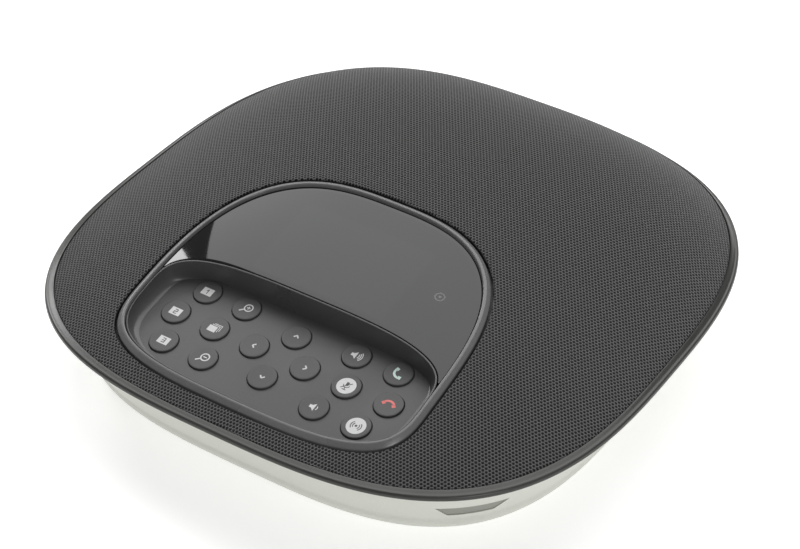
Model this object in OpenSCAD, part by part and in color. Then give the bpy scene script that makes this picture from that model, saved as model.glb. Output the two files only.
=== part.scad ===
// Table conference speakerphone: a rounded-square body, domed speaker cloth, and a console with
// a display and sixteen sprung keys. Millimetres. +Z up, keypad towards -Y, the table is z = 0,
// and the origin is under the middle of the body.

/* [Body] */
// Width and depth of the body at the rim
plan_w = 240; // [240:1:290]
// Squareness of the plan at the front, 2 is round
power_front = 3.05; // [2.4:0.05:4]
// Squareness of the plan at the back
power_back = 2.83; // [2.4:0.05:4]
// Squareness of the underside
power_base = 3.23; // [2.4:0.05:4]
// Height of the base shell, from its underside to the rim
base_h = 31; // [29:0.5:40]
// Wall of the base shell
base_wall = 2.4; // [1.8:0.1:3.2]
// How far the base shell stands inside the rim, all round
base_inset = 3; // [2:0.25:5]
// How far the base wall leans in on its way down
base_taper = 10.6; // [4:0.2:16]
// Radius of the base shell's lower edge
base_corner = 9; // [5:0.5:12]
// Height of the rubber feet
foot_h = 2.4; // [1.5:0.1:4]
// Radius of a rubber foot
foot_r = 9; // [6:0.5:12]

/* [Dome] */
// Height of the dome's edge above the rim plane
dome_edge = 0.8; // [0.5:0.1:2]
// Rise of the dome above its edge, at the middle
dome_rise = 27.3; // [24:0.1:36]
// Extra rise at the back, and as much less at the front
dome_lean = 14.3; // [8:0.1:16]
// Extra rise at both ends
dome_swell = 5.3; // [2:0.1:8]
// Fullness of the dome, 2 is a parabola
dome_power = 2.66; // [2:0.02:3.4]
// Thickness of the speaker cloth
cloth_t = 0.6; // [0.4:0.1:1.2]
// Thickness of the grille frame under the cloth
grille_t = 2; // [1.6:0.1:3]

/* [Rim] */
// Height of the rim's outer band
rim_band = 1.9; // [1.2:0.1:3]
// Width of the rim's top land
rim_land = 3.4; // [2.5:0.1:5]
// Width of the ledge that the grille frame rests on
rim_ledge = 3; // [2:0.1:3.6]

/* [Console] */
// Width of the console over its bezel
console_w = 127.8; // [120:0.2:136]
// Depth of the console over its bezel
console_d = 107.5; // [104:0.5:116]
// Gap between the console and the rim, at the front
console_gap = 11.2; // [10:0.1:14]
// Distance of the console's widest line from its front
console_widest = 30.8; // [28:0.2:34]
// Squareness of the console's front
console_power = 3.2; // [2.6:0.1:4]
// Width of the bezel
bezel_w = 2.7; // [2:0.1:4]
// How far the bezel stands above the cloth
bezel_proud = 0.7; // [0.3:0.1:1.5]
// Dark gap between the bezel and the cloth
cloth_gap = 1; // [0.6:0.1:1.6]
// Thickness of the console frame
frame_t = 2; // [1.6:0.1:2.6]
// Thickness of the display lens
lens_t = 1.7; // [1.2:0.1:1.9]
// Depth of the lens face below the cloth
lens_drop = 0.5; // [0.2:0.1:0.6]
// Width of the display module
lcd_w = 62; // [50:1:70]
// Depth of the display module
lcd_d = 38; // [34:1:39]
// Thickness of the display module
lcd_t = 3.6; // [2.6:0.1:4.2]

/* [Keypad] */
// Tilt of the key deck towards the user
deck_tilt = 9.7; // [8:0.1:12]
// Depth of the key deck below the cloth, at the middle of the keys
deck_drop = 9.35; // [9:0.05:10.5]
// Thickness of the key deck
deck_t = 2; // [1.6:0.1:2.6]
// Distance from the middle row of keys to the well's back edge
well_back = 21; // [20.8:0.1:23]
// Squareness of the well's back corners
well_power = 4; // [3.4:0.1:5]
// How far the well's wall curves in at its sides
cove_side = 3.8; // [2:0.1:4.2]
// How far the well's wall curves in at its front
cove_front = 3; // [2:0.1:4]
// Thickness of the well's top edge
well_edge = 0.6; // [0.4:0.1:0.8]
// Diameter of a key
key_d = 11; // [9:0.1:11.2]
// Gap round a key in its hole
key_gap = 0.25; // [0.15:0.05:0.4]
// Height of a key above the deck
key_proud = 0.75; // [0.6:0.05:1.5]
// Travel of a key
key_travel = 0.6; // [0.4:0.1:1.2]
// Distance between neighbouring key columns in one row
key_pitch = 17.9; // [17:0.1:18.2]
// Distance of the first middle-row column from the centre line
col_first = 11.2; // [10.6:0.1:12]
// Distance of the first outer-row column from the centre line
col_outer = 24.4; // [23.5:0.1:25]
// Distance between key rows, along the deck
row_pitch = 13.6; // [12.8:0.1:13.8]
// Distance of the up and down keys from the middle row, along the deck
arrow_pitch = 10.8; // [10:0.1:12]

/* [Loudspeaker] */
// Radius of the driver's flange
driver_r = 39; // [34:0.5:40]
// Height of the top of the enclosure above the table
driver_z = 50; // [46:0.5:52]
// Gap between the console and the enclosure, front to back
driver_gap = 2.3; // [2:0.1:6]
// Excursion of the cone, each way
cone_travel = 2; // [1:0.25:2.5]
// Radius of the voice coil's former
coil_r = 10; // [8:0.25:12]
// Wall of the speaker enclosure
box_wall = 2.2; // [1.6:0.1:3]

/* [Microphones] */
// Width of a microphone window's upper edge
mic_top_w = 26.4; // [20:0.4:32]
// Width of a microphone window's lower edge
mic_bottom_w = 16.4; // [12:0.4:22]
// Height of a microphone window, down the wall
mic_h = 6.2; // [4:0.2:8]
// Distance of a microphone window below the rim
mic_drop = 12.2; // [8:0.2:13]
// Depth of the recess that a microphone window sits in
mic_recess = 1.2; // [0.8:0.1:1.4]

/* [Connectors] */
// Width of the rear connector bay
bay_w = 62; // [56:1:70]
// Height of the rear connector bay
bay_h = 14; // [14:0.5:15]
// Height of the bay's middle above the table
bay_z = 16.3; // [16:0.1:18]
// Bore radius of the hub socket
hub_bore_r = 4.75; // [4:0.05:4.8]
// Bore radius of an expansion microphone socket
jack_bore_r = 1.8; // [1.5:0.05:2.2]
// Distance from the hub socket to each microphone socket
jack_pitch = 20; // [18:0.5:22]

/* [Hidden] */
// Points round every lofted outline, and the smoothness of everything round.
outline_n = 72;
$fn = 48;
fit_gap = 0.2;
static_gap = 0.15;
half = plan_w / 2;
rim_z = foot_h + base_h;
base_top = half - base_inset;
base_bottom = base_top - base_taper;
lean_h = base_h - base_corner;
grille_half = half - rim_land;
cover_step = 5.5;
cover_half = base_bottom - base_corner - cover_step;
cover_ledge = 4;
cover_lower_t = 1.3;
cover_t = 2.8;
cover_top = foot_h + cover_t;
post_x = cover_half * 0.807;
post_y = cover_half * 0.59;
post_r = 4.5;
boss_top = cover_top + 9;
foot_at = cover_half - 29;
screw_r = 1.5;
screw_head_r = 2.8;
screw_gap = 0.05;

console_half = console_w / 2;
keys_y = -half + console_gap + console_widest;
console_front_d = console_widest;
console_back_d = console_d - console_widest;
console_back_power = 3;
seat_drop = cloth_t + grille_t + static_gap;
frame_out = 2.2;
frame_in = 7.6;

well_half = console_half - bezel_w - fit_gap;
well_front = console_front_d - bezel_w - fit_gap;
foot_step = 0.35;
deck_z = dome_z(0, keys_y) - deck_drop;
key_r = key_d / 2;
flange_w = 0.7;
flange_t = 1.2;
flange_gap = 0.1;
stem_r = 1.6;
stem_l = 1;
stem_end = -deck_t - flange_gap - flange_t - stem_l;
bump_top = stem_end - key_travel - flange_gap;
bump_h = 0.7;
bump_r = 3.2;
membrane_t = 0.6;
board_t = 1.6;
retainer_t = 1.5;
membrane_z = bump_top - bump_h - membrane_t;
board_z = membrane_z - board_t;
retainer_z = board_z - retainer_t;
lug_x = console_half + 0.4;
lug_r = 2.5;
lug_y = 12;
lcd_lug_x = console_half - frame_in - 2.3;
bracket_t = 1.5;
small_screw_r = 1;
small_head_r = 1.9;
small_head_t = 1.2;

driver_y = keys_y + console_back_d + driver_gap + driver_r + 1.6;
tower_r = driver_r + 4;
box_half_x = 62;
box_half_y = 34;
box_top = 26;
spk_seat = driver_z + 1;
main_board_z = cover_top + 5;
main_half_x = 54;
main_back = keys_y + console_back_d - 6.4;
main_d = 74;
bay_front = half - 28;
bay_wall = 1.6;
bay_lining_t = 1.2;
hub_wall = 0.95;
jack_wall = 1.55;
socket_gap = 0.1;
socket_l = 5;
socket_back = 4;
socket_board_t = 1.6;

// Key name, place across (columns from the centre line) and place along the deck (rows).
KEYS = [
    ["key_preset_1", -col_outer - key_pitch, row_pitch],
    ["key_zoom_in", -col_outer, row_pitch],
    ["key_volume_up", col_outer, row_pitch],
    ["key_answer", col_outer + key_pitch, row_pitch],
    ["key_preset_2", -col_first - 2 * key_pitch, 0],
    ["key_layout", -col_first - key_pitch, 0],
    ["key_left", -col_first, 0],
    ["key_right", col_first, 0],
    ["key_mute", col_first + key_pitch, 0],
    ["key_hang_up", col_first + 2 * key_pitch, 0],
    ["key_preset_3", -col_outer - key_pitch, -row_pitch],
    ["key_zoom_out", -col_outer, -row_pitch],
    ["key_volume_down", col_outer, -row_pitch],
    ["key_pairing", col_outer + key_pitch, -row_pitch],
    ["key_up", 0, arrow_pitch],
    ["key_down", 0, -arrow_pitch]
];

FIXED_NODES = [
    "base_shell", "bottom_cover", "rubber_feet", "case_screws", "rim_ring", "grille_frame",
    "speaker_cloth", "console_frame", "console_bezel", "lens_gasket", "display_lens",
    "display_module", "display_bracket", "keypad_surround", "keypad_deck", "keypad_membrane",
    "dome_switches", "keypad_board", "keypad_retainer", "small_screws", "main_board",
    "display_ribbon", "keypad_ribbon", "speaker_enclosure", "speaker_gasket", "speaker_basket",
    "speaker_top_plate", "speaker_magnet", "speaker_yoke", "voice_coil", "speaker_cone",
    "dust_cap", "speaker_surround", "speaker_spider", "driver_screws", "speaker_lead",
    "mic_windows", "microphones", "connector_housing", "bay_lining", "hub_socket",
    "jack_sockets", "socket_board"
];

// ---- outlines and surfaces ----

// Radius of a unit superellipse of power n at angle t.
function unit_r(t, n) = pow(pow(abs(cos(t)), n) + pow(abs(sin(t)), n), -1 / n);

// Point at angle t on a rounded outline: half width w, depths front and back of the line y = yc.
function oval(w, front, back, yc, nf, nb, t) =
    let (r = unit_r(t, sin(t) > 0 ? nb : nf))
    [w * r * cos(t), yc + (sin(t) > 0 ? back : front) * r * sin(t)];

function angles() = [for (i = [0:outline_n - 1]) i * 360 / outline_n];

// Body plan at half size h.
function plan_pt(h, t) = oval(h, h, h, 0, power_front, power_back, t);

// Console outline, grown by d.
function console_pt(d, t) = oval(console_half + d, console_front_d + d, console_back_d + d, keys_y,
    console_power, console_back_power, t);

// Well outline at its top, grown by d.
function well_pt(d, t) = oval(well_half + d, well_front + d, well_back + d, keys_y,
    console_power, well_power, t);

// Well outline at its foot.
function foot_pt(t) = oval(well_half - well_edge - cove_side, well_front - well_edge - cove_front,
    well_back - well_edge, keys_y, console_power, well_power + 1, t);

// Height of the speaker cloth's face at x, y.
function plan_share(x, y) =
    let (n = y > 0 ? power_back : power_front)
    min(1, pow(pow(abs(x) / half, n) + pow(abs(y) / half, n), 1 / n));
function dome_z(x, y) =
    let (u = y / half)
    rim_z + dome_edge
        + (1 - pow(plan_share(x, y), dome_power)) * (dome_rise + dome_lean * u + dome_swell * u * u);

// A plan point lifted to the dome, d above it, or to a height, or to the key deck.
function on_dome(p, d) = [p[0], p[1], dome_z(p[0], p[1]) + d];
function at_z(p, z) = [p[0], p[1], z];
function deck_height(y) = deck_z + (y - keys_y) * tan(deck_tilt);
function on_deck(p, d) = [p[0], p[1], deck_height(p[1]) + d];
function mix(a, b, k) = a + (b - a) * k;

// Base wall: half size and squareness at depth d below the rim.
function base_half(d) = d < lean_h
    ? base_top - base_taper * d / lean_h
    : base_bottom - base_corner + sqrt(max(0, pow(base_corner, 2) - pow(d - lean_h, 2)));
function base_pt(d, inset, t) =
    let (k = d / base_h)
    let (h = base_half(d) - inset)
    oval(h, h, h, 0, mix(power_front, power_base, k), mix(power_back, power_base, k), t);
function base_loop(d, inset, z) = [for (t = angles()) at_z(base_pt(d, inset, t), z)];

// ---- lofts ----

// Two triangles for each cell between neighbouring loops of n points. Cells from row flip on are
// cut along their other diagonal, so that the underside of one layer matches the top of the next.
function cells(n, m, closed, flip) = [
    for (i = [0:m - (closed ? 1 : 2)])
        for (j = [0:n - 1])
            let (a = i * n + j)
            let (b = i * n + (j + 1) % n)
            let (c = ((i + 1) % m) * n + (j + 1) % n)
            let (d = ((i + 1) % m) * n + j)
            each i < flip ? [[a, c, b], [a, d, c]] : [[a, d, b], [b, d, c]]
];

// A closed ring through loops that go up the outside, over the top, and down the inside.
module ring(loops, flip = 1000) {
    n = len(loops[0]);
    polyhedron(points = [for (l = loops) each l], faces = cells(n, len(loops), true, flip),
        convexity = 6);
}

// A plate through loops from the underside's middle, round the edge, to the top's middle.
module plate(loops, low, high) {
    n = len(loops[0]);
    m = len(loops);
    fans = [for (j = [0:n - 1]) each [
        [m * n, j, (j + 1) % n],
        [m * n + 1, (m - 1) * n + (j + 1) % n, (m - 1) * n + j]
    ]];
    polyhedron(points = concat([for (l = loops) each l], [low, high]),
        faces = concat(cells(n, m, false, m), fans), convexity = 6);
}

// Everything on the key deck is drawn flat, and then tilted about the middle row of keys.
module on_key_deck() {
    translate([0, keys_y, deck_z]) rotate([deck_tilt, 0, 0]) children();
}
function deck_flat(p) = [p[0], (p[1] - keys_y) / cos(deck_tilt)];

// Prism of the well's outline, grown by d.
module well_prism(d) {
    translate([0, 0, rim_z - 20])
        linear_extrude(80)
            polygon([for (t = angles()) well_pt(d, t)]);
}

// ---- base ----

// A curved patch on the base wall at corner c, grown by g, from inset a to inset b.
module wall_patch(c, a, b, g) {
    nu = 7;
    nv = 4;
    function span(v) = mix(mic_top_w, mic_bottom_w, v) / 2 + g;
    function spot(u, v, inset) =
        let (d = mic_drop - g + (mic_h + 2 * g) * v)
        let (r = norm(base_pt(d, 0, 45)))
        at_z(base_pt(d, inset, 45 + 90 * c + atan(span(v) / r) * (2 * u - 1)), rim_z - d);
    pts = [for (s = [a, b]) for (j = [0:nv]) for (i = [0:nu]) spot(i / nu, j / nv, s)];
    w = nu + 1;
    m = w * (nv + 1);
    edge = concat([for (i = [0:nu - 1]) i], [for (j = [0:nv - 1]) j * w + nu],
        [for (i = [nu:-1:1]) nv * w + i], [for (j = [nv:-1:1]) j * w]);
    grid = [for (j = [0:nv - 1]) for (i = [0:nu - 1]) j * w + i];
    polyhedron(points = pts, convexity = 4, faces = concat(
        [for (q = grid) each [[q, q + 1, q + w + 1], [q, q + w + 1, q + w]]],
        [for (q = grid) each [[m + q, m + q + w + 1, m + q + 1], [m + q, m + q + w, m + q + w + 1]]],
        [for (k = [0:len(edge) - 1])
            let (e = edge[k])
            let (f = edge[(k + 1) % len(edge)])
            each [[e, m + f, f], [e, m + e, m + f]]]
    ));
}

module at_corners(r) {
    for (c = [0:3]) rotate([0, 0, 45 + 90 * c]) translate([r, 0, 0]) children();
}

// Places things on the base wall behind the windows, +Z square to the wall and inwards.
module at_mic(inset) {
    d = mic_drop + mic_h / 2;
    low = norm(base_pt(mic_drop + mic_h, 0, 45));
    lean = atan((norm(base_pt(mic_drop, 0, 45)) - low) / mic_h);
    at_corners(norm(base_pt(d, 0, 45))) translate([0, 0, rim_z - d])
        rotate([0, lean - 90, 0]) translate([0, 0, inset]) children();
}

module base_shell() {
    steps = 4;
    arc = [for (i = [0:steps]) lean_h + base_corner * sin(90 * i / steps)];
    // The opening's step takes the cover's edge.
    open_low = cover_half + fit_gap;
    open_high = open_low - cover_ledge;
    inner_floor = foot_h + base_wall;
    function flat_loop(h, z) =
        [for (t = angles()) at_z(oval(h, h, h, 0, power_base, power_base, t), z)];
    color([0.80, 0.81, 0.76]) difference() {
        ring(concat(
            [flat_loop(open_low, foot_h)],
            [for (i = [steps:-1:0]) base_loop(arc[i], 0, rim_z - arc[i])],
            [base_loop(lean_h / 2, 0, rim_z - lean_h / 2)],
            [base_loop(0, 0, rim_z)],
            [base_loop(0, base_wall, rim_z)],
            [base_loop(lean_h / 2, base_wall, rim_z - lean_h / 2)],
            [for (i = [0:steps])
                base_loop(arc[i], base_wall, max(inner_floor, rim_z - arc[i] + base_wall * i / steps))],
            [flat_loop(open_high, inner_floor)],
            [flat_loop(open_high, foot_h + cover_lower_t + 0.1)],
            [flat_loop(open_low, foot_h + cover_lower_t + 0.1)]
        ));
        for (c = [0:3]) wall_patch(c, -2, mic_recess, 0.1);
        at_mic(0) translate([0, 0, -2]) cylinder(r = 1.2, h = 8);
        translate([-bay_w / 2 - fit_gap, bay_front, bay_z - bay_h / 2 - fit_gap])
            cube([bay_w + 2 * fit_gap, 60, bay_h + 2 * fit_gap]);
    }
}

module cover_plan(h) {
    polygon([for (t = angles()) oval(h, h, h, 0, power_base, power_base, t)]);
}

module at_posts() {
    for (sx = [-1, 1]) for (sy = [-1, 1]) translate([sx * post_x, sy * post_y, 0]) children();
}

module at_board_posts() {
    for (sx = [-1, 1]) for (y = [main_back - main_d + 5, main_back - 5])
        translate([sx * (main_half_x - 4), y, 0]) children();
}

module bottom_cover() {
    color([0.23, 0.23, 0.24]) difference() {
        union() {
            translate([0, 0, foot_h])
                linear_extrude(cover_lower_t)
                    cover_plan(cover_half);
            translate([0, 0, foot_h])
                linear_extrude(cover_t)
                    cover_plan(cover_half - cover_ledge - fit_gap);
            at_posts() translate([0, 0, foot_h]) cylinder(r = post_r, h = boss_top - foot_h);
            at_board_posts() translate([0, 0, foot_h]) cylinder(r = 3, h = main_board_z - foot_h);
        }
        at_posts() translate([0, 0, foot_h - 1]) cylinder(r = screw_r + 0.2, h = 30);
        at_posts() translate([0, 0, foot_h - 1]) cylinder(r = screw_head_r + 0.3, h = 4);
        at_board_posts()
            translate([0, 0, cover_top]) cylinder(r = small_screw_r + screw_gap, h = 20);
    }
}

module rubber_feet() {
    color([0.12, 0.12, 0.12])
        for (sx = [-1, 1]) for (sy = [-1, 1]) translate([sx * foot_at, sy * foot_at, 0])
            rotate_extrude() polygon([[0, 0], [foot_r - 0.8, 0], [foot_r, 0.8], [foot_r, foot_h], [0, foot_h]]);
}

module case_screws() {
    head_t = 2;
    head_z = foot_h + 1;
    shank_l = 22;
    color([0.62, 0.63, 0.65])
        at_posts() difference() {
            union() {
                translate([0, 0, head_z]) cylinder(r = screw_head_r, h = head_t);
                translate([0, 0, head_z]) cylinder(r = screw_r, h = shank_l);
            }
            translate([0, 0, head_z - 1]) cylinder(r = 1.2, h = 2.2, $fn = 6);
        }
}

// ---- rim, grille and cloth ----

function dome_ring(h, d) = [for (t = angles()) on_dome(plan_pt(h, t), d)];
function rim_ring_at(h, z) = [for (t = angles()) at_z(plan_pt(h, t), z)];

module rim_ring() {
    lip = 0.35;
    inner = grille_half + fit_gap;
    function seat(h) =
        [for (t = angles()) let (p = plan_pt(h, t)) at_z(p, frame_low(p) - static_gap)];
    color([0.27, 0.27, 0.26]) ring([
        rim_ring_at(half - 0.5, rim_z),
        rim_ring_at(half, rim_z + 0.4),
        rim_ring_at(half - 0.15, rim_z + rim_band - 0.5),
        rim_ring_at(half - 0.9, rim_z + rim_band),
        dome_ring(inner, lip),
        seat(inner),
        seat(ledge_half),
        rim_ring_at(ledge_half, rim_z)
    ]);
}

// Outlines of the domed layers, from the console's gap out to the rim. The first two and the
// last two lie over the console frame and the rim's ledge.
ledge_half = grille_half + fit_gap - rim_ledge;
function top_outlines() = concat(
    [[for (t = angles()) console_pt(cloth_gap, t)]],
    [for (k = [0, 0.12, 0.28, 0.46, 0.64, 0.82, 1])
        [for (t = angles()) mix(console_pt(frame_out + 0.4, t), plan_pt(ledge_half, t), k)]],
    [[for (t = angles()) plan_pt(grille_half, t)]]
);
// The frame's underside keeps clear of the rim plane where the dome is low.
function frame_low(p) = max(dome_z(p[0], p[1]) - cloth_t - grille_t, rim_z + 0.8);
module dome_layer(high, low, kept_up) {
    lines = top_outlines();
    m = len(lines) - 1;
    ring(concat(
        [for (i = [m:-1:0]) [for (p = lines[i]) on_dome(p, high)]],
        [for (i = [0:m]) [for (p = lines[i]) kept_up ? at_z(p, frame_low(p)) : on_dome(p, low)]]
    ), m + 1);
}

// A post from height z up into the grille frame, cut off along the frame's slope.
module frame_post(x, y, z) {
    gx = (dome_z(x + 1, y) - dome_z(x - 1, y)) / 2;
    gy = (dome_z(x, y + 1) - dome_z(x, y - 1)) / 2;
    difference() {
        translate([x, y, z]) cylinder(r = post_r, h = dome_z(x, y) + 6 - z);
        translate([x, y, dome_z(x, y) - cloth_t - grille_t / 2])
            rotate([0, -atan(norm([gx, gy])), atan2(gy, gx)])
                translate([-20, -20, 0]) cube([40, 40, 30]);
    }
}

module grille_frame() {
    post_low = boss_top + 0.1;
    hole_r = 4;
    hole_step = 11;
    color([0.16, 0.16, 0.17]) difference() {
        union() {
            dome_layer(-cloth_t, 0, true);
            for (sx = [-1, 1]) for (sy = [-1, 1])
                frame_post(sx * post_x, sy * post_y, post_low);
        }
        at_posts() translate([0, 0, post_low - 1]) cylinder(r = screw_r + screw_gap, h = 14);
        // Sound openings over the driver, in six-fold rows.
        for (i = [-2:2]) for (j = [-2:2]) if (abs(i + j) <= 2)
            translate([hole_step * (i + j / 2), driver_y + 4 + hole_step * j * sin(60), rim_z])
                cylinder(r = hole_r, h = 60);
    }
}

module speaker_cloth() {
    color([0.30, 0.30, 0.31]) dome_layer(0, -cloth_t, false);
}

// ---- console ----

function console_loop(d, z) = [for (t = angles()) on_dome(console_pt(d, t), z)];
function well_loop(d, z) = [for (t = angles()) on_dome(well_pt(d, t), z)];

module console_frame() {
    top = -seat_drop;
    low = top - frame_t;
    color([0.14, 0.14, 0.15]) difference() {
        union() {
            difference() {
                ring([
                    console_loop(frame_out, low),
                    console_loop(frame_out, top),
                    console_loop(0, top),
                    console_loop(-bezel_w, top),
                    console_loop(-frame_in, top),
                    console_loop(-frame_in, low),
                    console_loop(0, low)
                ]);
                well_prism(fit_gap);
            }
            for (y = [-lug_y, lug_y])
                on_key_deck() for (sx = [-1, 1])
                    translate([sx * lug_x, y, board_z]) cylinder(r = lug_r, h = lug_h(y));
            at_display_lugs() cylinder(r = lug_r, h = lcd_lug_h());
        }
        at_display_lugs() translate([0, 0, -1]) cylinder(r = small_screw_r + screw_gap, h = 3);
        on_key_deck() at_lugs()
            translate([0, 0, board_z - 1]) cylinder(r = small_screw_r + screw_gap, h = 8);
    }
}

// Screw lugs hang from the console frame on both sides of the well.
module at_lugs() {
    for (sx = [-1, 1]) for (y = [-lug_y, lug_y]) translate([sx * lug_x, y, 0]) children();
}
// The length of those at y, from the keypad board's underside into the frame.
function lcd_lug_h() =
    dome_z(lcd_lug_x, lcd_y) - seat_drop - frame_t / 2 - dome_z(0, lcd_y) + lcd_drop + lcd_t;
function lug_h(y) =
    dome_z(lug_x, keys_y + y) - seat_drop - frame_t / 2 - deck_height(keys_y + y) - board_z;

module console_bezel() {
    color([0.42, 0.42, 0.42]) ring([
        console_loop(0, -seat_drop + static_gap),
        console_loop(0, -0.3),
        console_loop(-bezel_w * 0.2, bezel_proud - 0.35),
        console_loop(-bezel_w * 0.42, bezel_proud),
        console_loop(-bezel_w * 0.68, bezel_proud - 0.1),
        console_loop(-bezel_w + 0.2, bezel_proud - 0.7),
        console_loop(-bezel_w, -lens_drop - 0.4),
        console_loop(-bezel_w, -seat_drop + static_gap)
    ]);
}

// The lens is cut off where it would run out to a feather edge beside the well.
module lens_side() {
    translate([-100, keys_y + 11, rim_z - 20]) cube([200, 200, 100]);
}

module lens_gasket() {
    color([0.10, 0.10, 0.10]) intersection() {
        difference() {
            ring([
                console_loop(-bezel_w - 0.4, -seat_drop + static_gap / 2),
                console_loop(-bezel_w - 0.4, -lens_drop - lens_t - static_gap),
                console_loop(-frame_in + 1, -lens_drop - lens_t - static_gap),
                console_loop(-frame_in + 1, -seat_drop + static_gap / 2)
            ]);
            well_prism(fit_gap);
        }
        lens_side();
    }
}

module display_lens() {
    mid = [0, keys_y + 42];
    function lens_loop(k, z) =
        [for (t = angles()) on_dome(mix(mid, console_pt(-bezel_w - fit_gap, t), k), z)];
    top = -lens_drop;
    low = -lens_drop - lens_t;
    color([0.08, 0.08, 0.09]) intersection() {
        difference() {
            plate([
                lens_loop(0.4, low), lens_loop(0.75, low), lens_loop(1, low),
                lens_loop(1, top), lens_loop(0.75, top), lens_loop(0.4, top)
            ], on_dome(mid, low), on_dome(mid, top));
            well_prism(fit_gap);
        }
        lens_side();
    }
}

// The display lies parallel to the lens at its own middle.
lcd_y = keys_y + well_back + 2 + lcd_d / 2;
lcd_slope = atan((dome_z(0, lcd_y + 18) - dome_z(0, lcd_y - 18)) / 36);
lcd_drop = lens_drop + lens_t + 2.2;
module on_display() {
    translate([0, lcd_y, dome_z(0, lcd_y) - lcd_drop]) rotate([lcd_slope, 0, 0]) children();
}

module display_module() {
    bezel = 2.6;
    glass_t = 0.4;
    color([0.20, 0.22, 0.25]) on_display() difference() {
        translate([-lcd_w / 2, -lcd_d / 2, -lcd_t]) cube([lcd_w, lcd_d, lcd_t]);
        translate([-lcd_w / 2 + bezel, -lcd_d / 2 + bezel, -glass_t])
            cube([lcd_w - 2 * bezel, lcd_d - 2 * bezel, 1]);
    }
}

// A tray with two lips and two wings, screwed up to lugs under the console frame.
module display_bracket() {
    lip = 1.8;
    lip_l = lcd_d - 10;
    wing = 14;
    color([0.60, 0.61, 0.62]) on_display() translate([0, 0, -lcd_t - bracket_t]) difference() {
        union() {
            translate([-lcd_w / 2 - lip, -lcd_d / 2, 0]) cube([lcd_w + 2 * lip, lcd_d, bracket_t]);
            translate([-lcd_lug_x - 3, -wing / 2, 0]) cube([2 * lcd_lug_x + 6, wing, bracket_t]);
            for (s = [-1, 1]) translate([s * (lcd_w / 2 + (lip + fit_gap) / 2), 0, 0])
                linear_extrude(lcd_t + bracket_t - 1.2) square([lip - fit_gap, lip_l], center = true);
        }
        for (s = [-1, 1]) translate([s * lcd_w / 4, 0, -1]) cylinder(r = 5, h = bracket_t + 2);
        for (s = [-1, 1]) translate([s * lcd_lug_x, 0, -1])
            cylinder(r = small_screw_r + 0.2, h = bracket_t + 2);
    }
}
module at_display_lugs() {
    on_display() for (s = [-1, 1]) translate([s * lcd_lug_x, 0, -lcd_t]) children();
}

// ---- keypad ----

module keypad_surround() {
    steps = 5;
    function cove(i) = [for (t = angles())
        let (rim = on_dome(well_pt(-well_edge, t), -lens_drop))
        let (toe = on_deck(foot_pt(t), foot_step))
        let (side = 1 - cos(90 * i / steps))
        let (fall = sin(90 * i / steps))
        [mix(rim[0], toe[0], side), mix(rim[1], toe[1], side), mix(rim[2], toe[2], fall)]];
    color([0.31, 0.31, 0.31]) ring(concat(
        [[for (t = angles()) on_deck(well_pt(0, t), 0)]],
        [well_loop(0, -lens_drop)],
        [for (i = [0:steps]) cove(i)],
        [[for (t = angles()) on_deck(foot_pt(t), 0)]]
    ));
}

module deck_plan(d) {
    polygon([for (t = angles()) deck_flat(well_pt(d, t))]);
}

module at_keys() {
    for (k = KEYS) translate([k[1], k[2], 0]) children();
}

module keypad_deck() {
    color([0.34, 0.34, 0.34]) on_key_deck() difference() {
        union() {
            translate([0, 0, -deck_t]) linear_extrude(deck_t) deck_plan(0);
            // A skirt under the deck's edge holds the membrane and the board.
            translate([0, 0, membrane_z]) linear_extrude(-deck_t - membrane_z) difference() {
                deck_plan(0);
                deck_plan(-0.8);
            }
        }
        at_keys() translate([0, 0, -deck_t - 1]) cylinder(r = key_r + key_gap, h = deck_t + 2);
        at_keys() translate([0, 0, membrane_z - 1])
            cylinder(r = key_r + flange_w + key_gap, h = -deck_t - membrane_z + 1);
    }
}

module key_cap(at) {
    flange_top = -deck_t - flange_gap;
    color([0.34, 0.34, 0.34]) on_key_deck() translate([at[1], at[2], 0]) rotate_extrude() polygon([
        [0, stem_end], [stem_r, stem_end], [stem_r, flange_top - flange_t],
        [key_r + flange_w, flange_top - flange_t], [key_r + flange_w, flange_top],
        [key_r, flange_top], [key_r, key_proud - 0.4], [key_r - 0.4, key_proud], [0, key_proud]
    ]);
}

module keypad_membrane() {
    color([0.55, 0.56, 0.58]) on_key_deck() difference() {
        union() {
            translate([0, 0, membrane_z]) linear_extrude(membrane_t) deck_plan(-1);
            at_keys() translate([0, 0, membrane_z]) cylinder(r = bump_r, h = bump_top - membrane_z);
        }
        at_keys() translate([0, 0, membrane_z - 1])
            cylinder(r = bump_r - 0.6, h = bump_top - membrane_z + 0.5);
    }
}

module dome_switches() {
    color([0.75, 0.75, 0.76]) on_key_deck()
        at_keys() translate([0, 0, membrane_z]) cylinder(r1 = 2.4, r2 = 1.4, h = 0.5);
}

module keypad_board() {
    color([0.10, 0.28, 0.16]) on_key_deck()
        translate([0, 0, board_z]) linear_extrude(board_t) deck_plan(0);
}

module keypad_retainer() {
    web = 30;
    color([0.60, 0.61, 0.62]) on_key_deck() translate([0, 0, retainer_z]) difference() {
        linear_extrude(retainer_t) union() {
            square([2 * lug_x - 2, web], center = true);
            for (sx = [-1, 1]) for (y = [-lug_y, lug_y])
                translate([sx * lug_x, y]) circle(r = lug_r + 1);
        }
        at_lugs() translate([0, 0, -1]) cylinder(r = small_screw_r + 0.2, h = retainer_t + 2);
        for (x = [-30, 0, 30]) translate([x, -2, -1]) cylinder(r = 9, h = retainer_t + 2);
    }
}

module small_screw(l) {
    translate([0, 0, -small_head_t]) cylinder(r = small_head_r, h = small_head_t);
    translate([0, 0, -0.1]) cylinder(r = small_screw_r, h = l);
}

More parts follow.
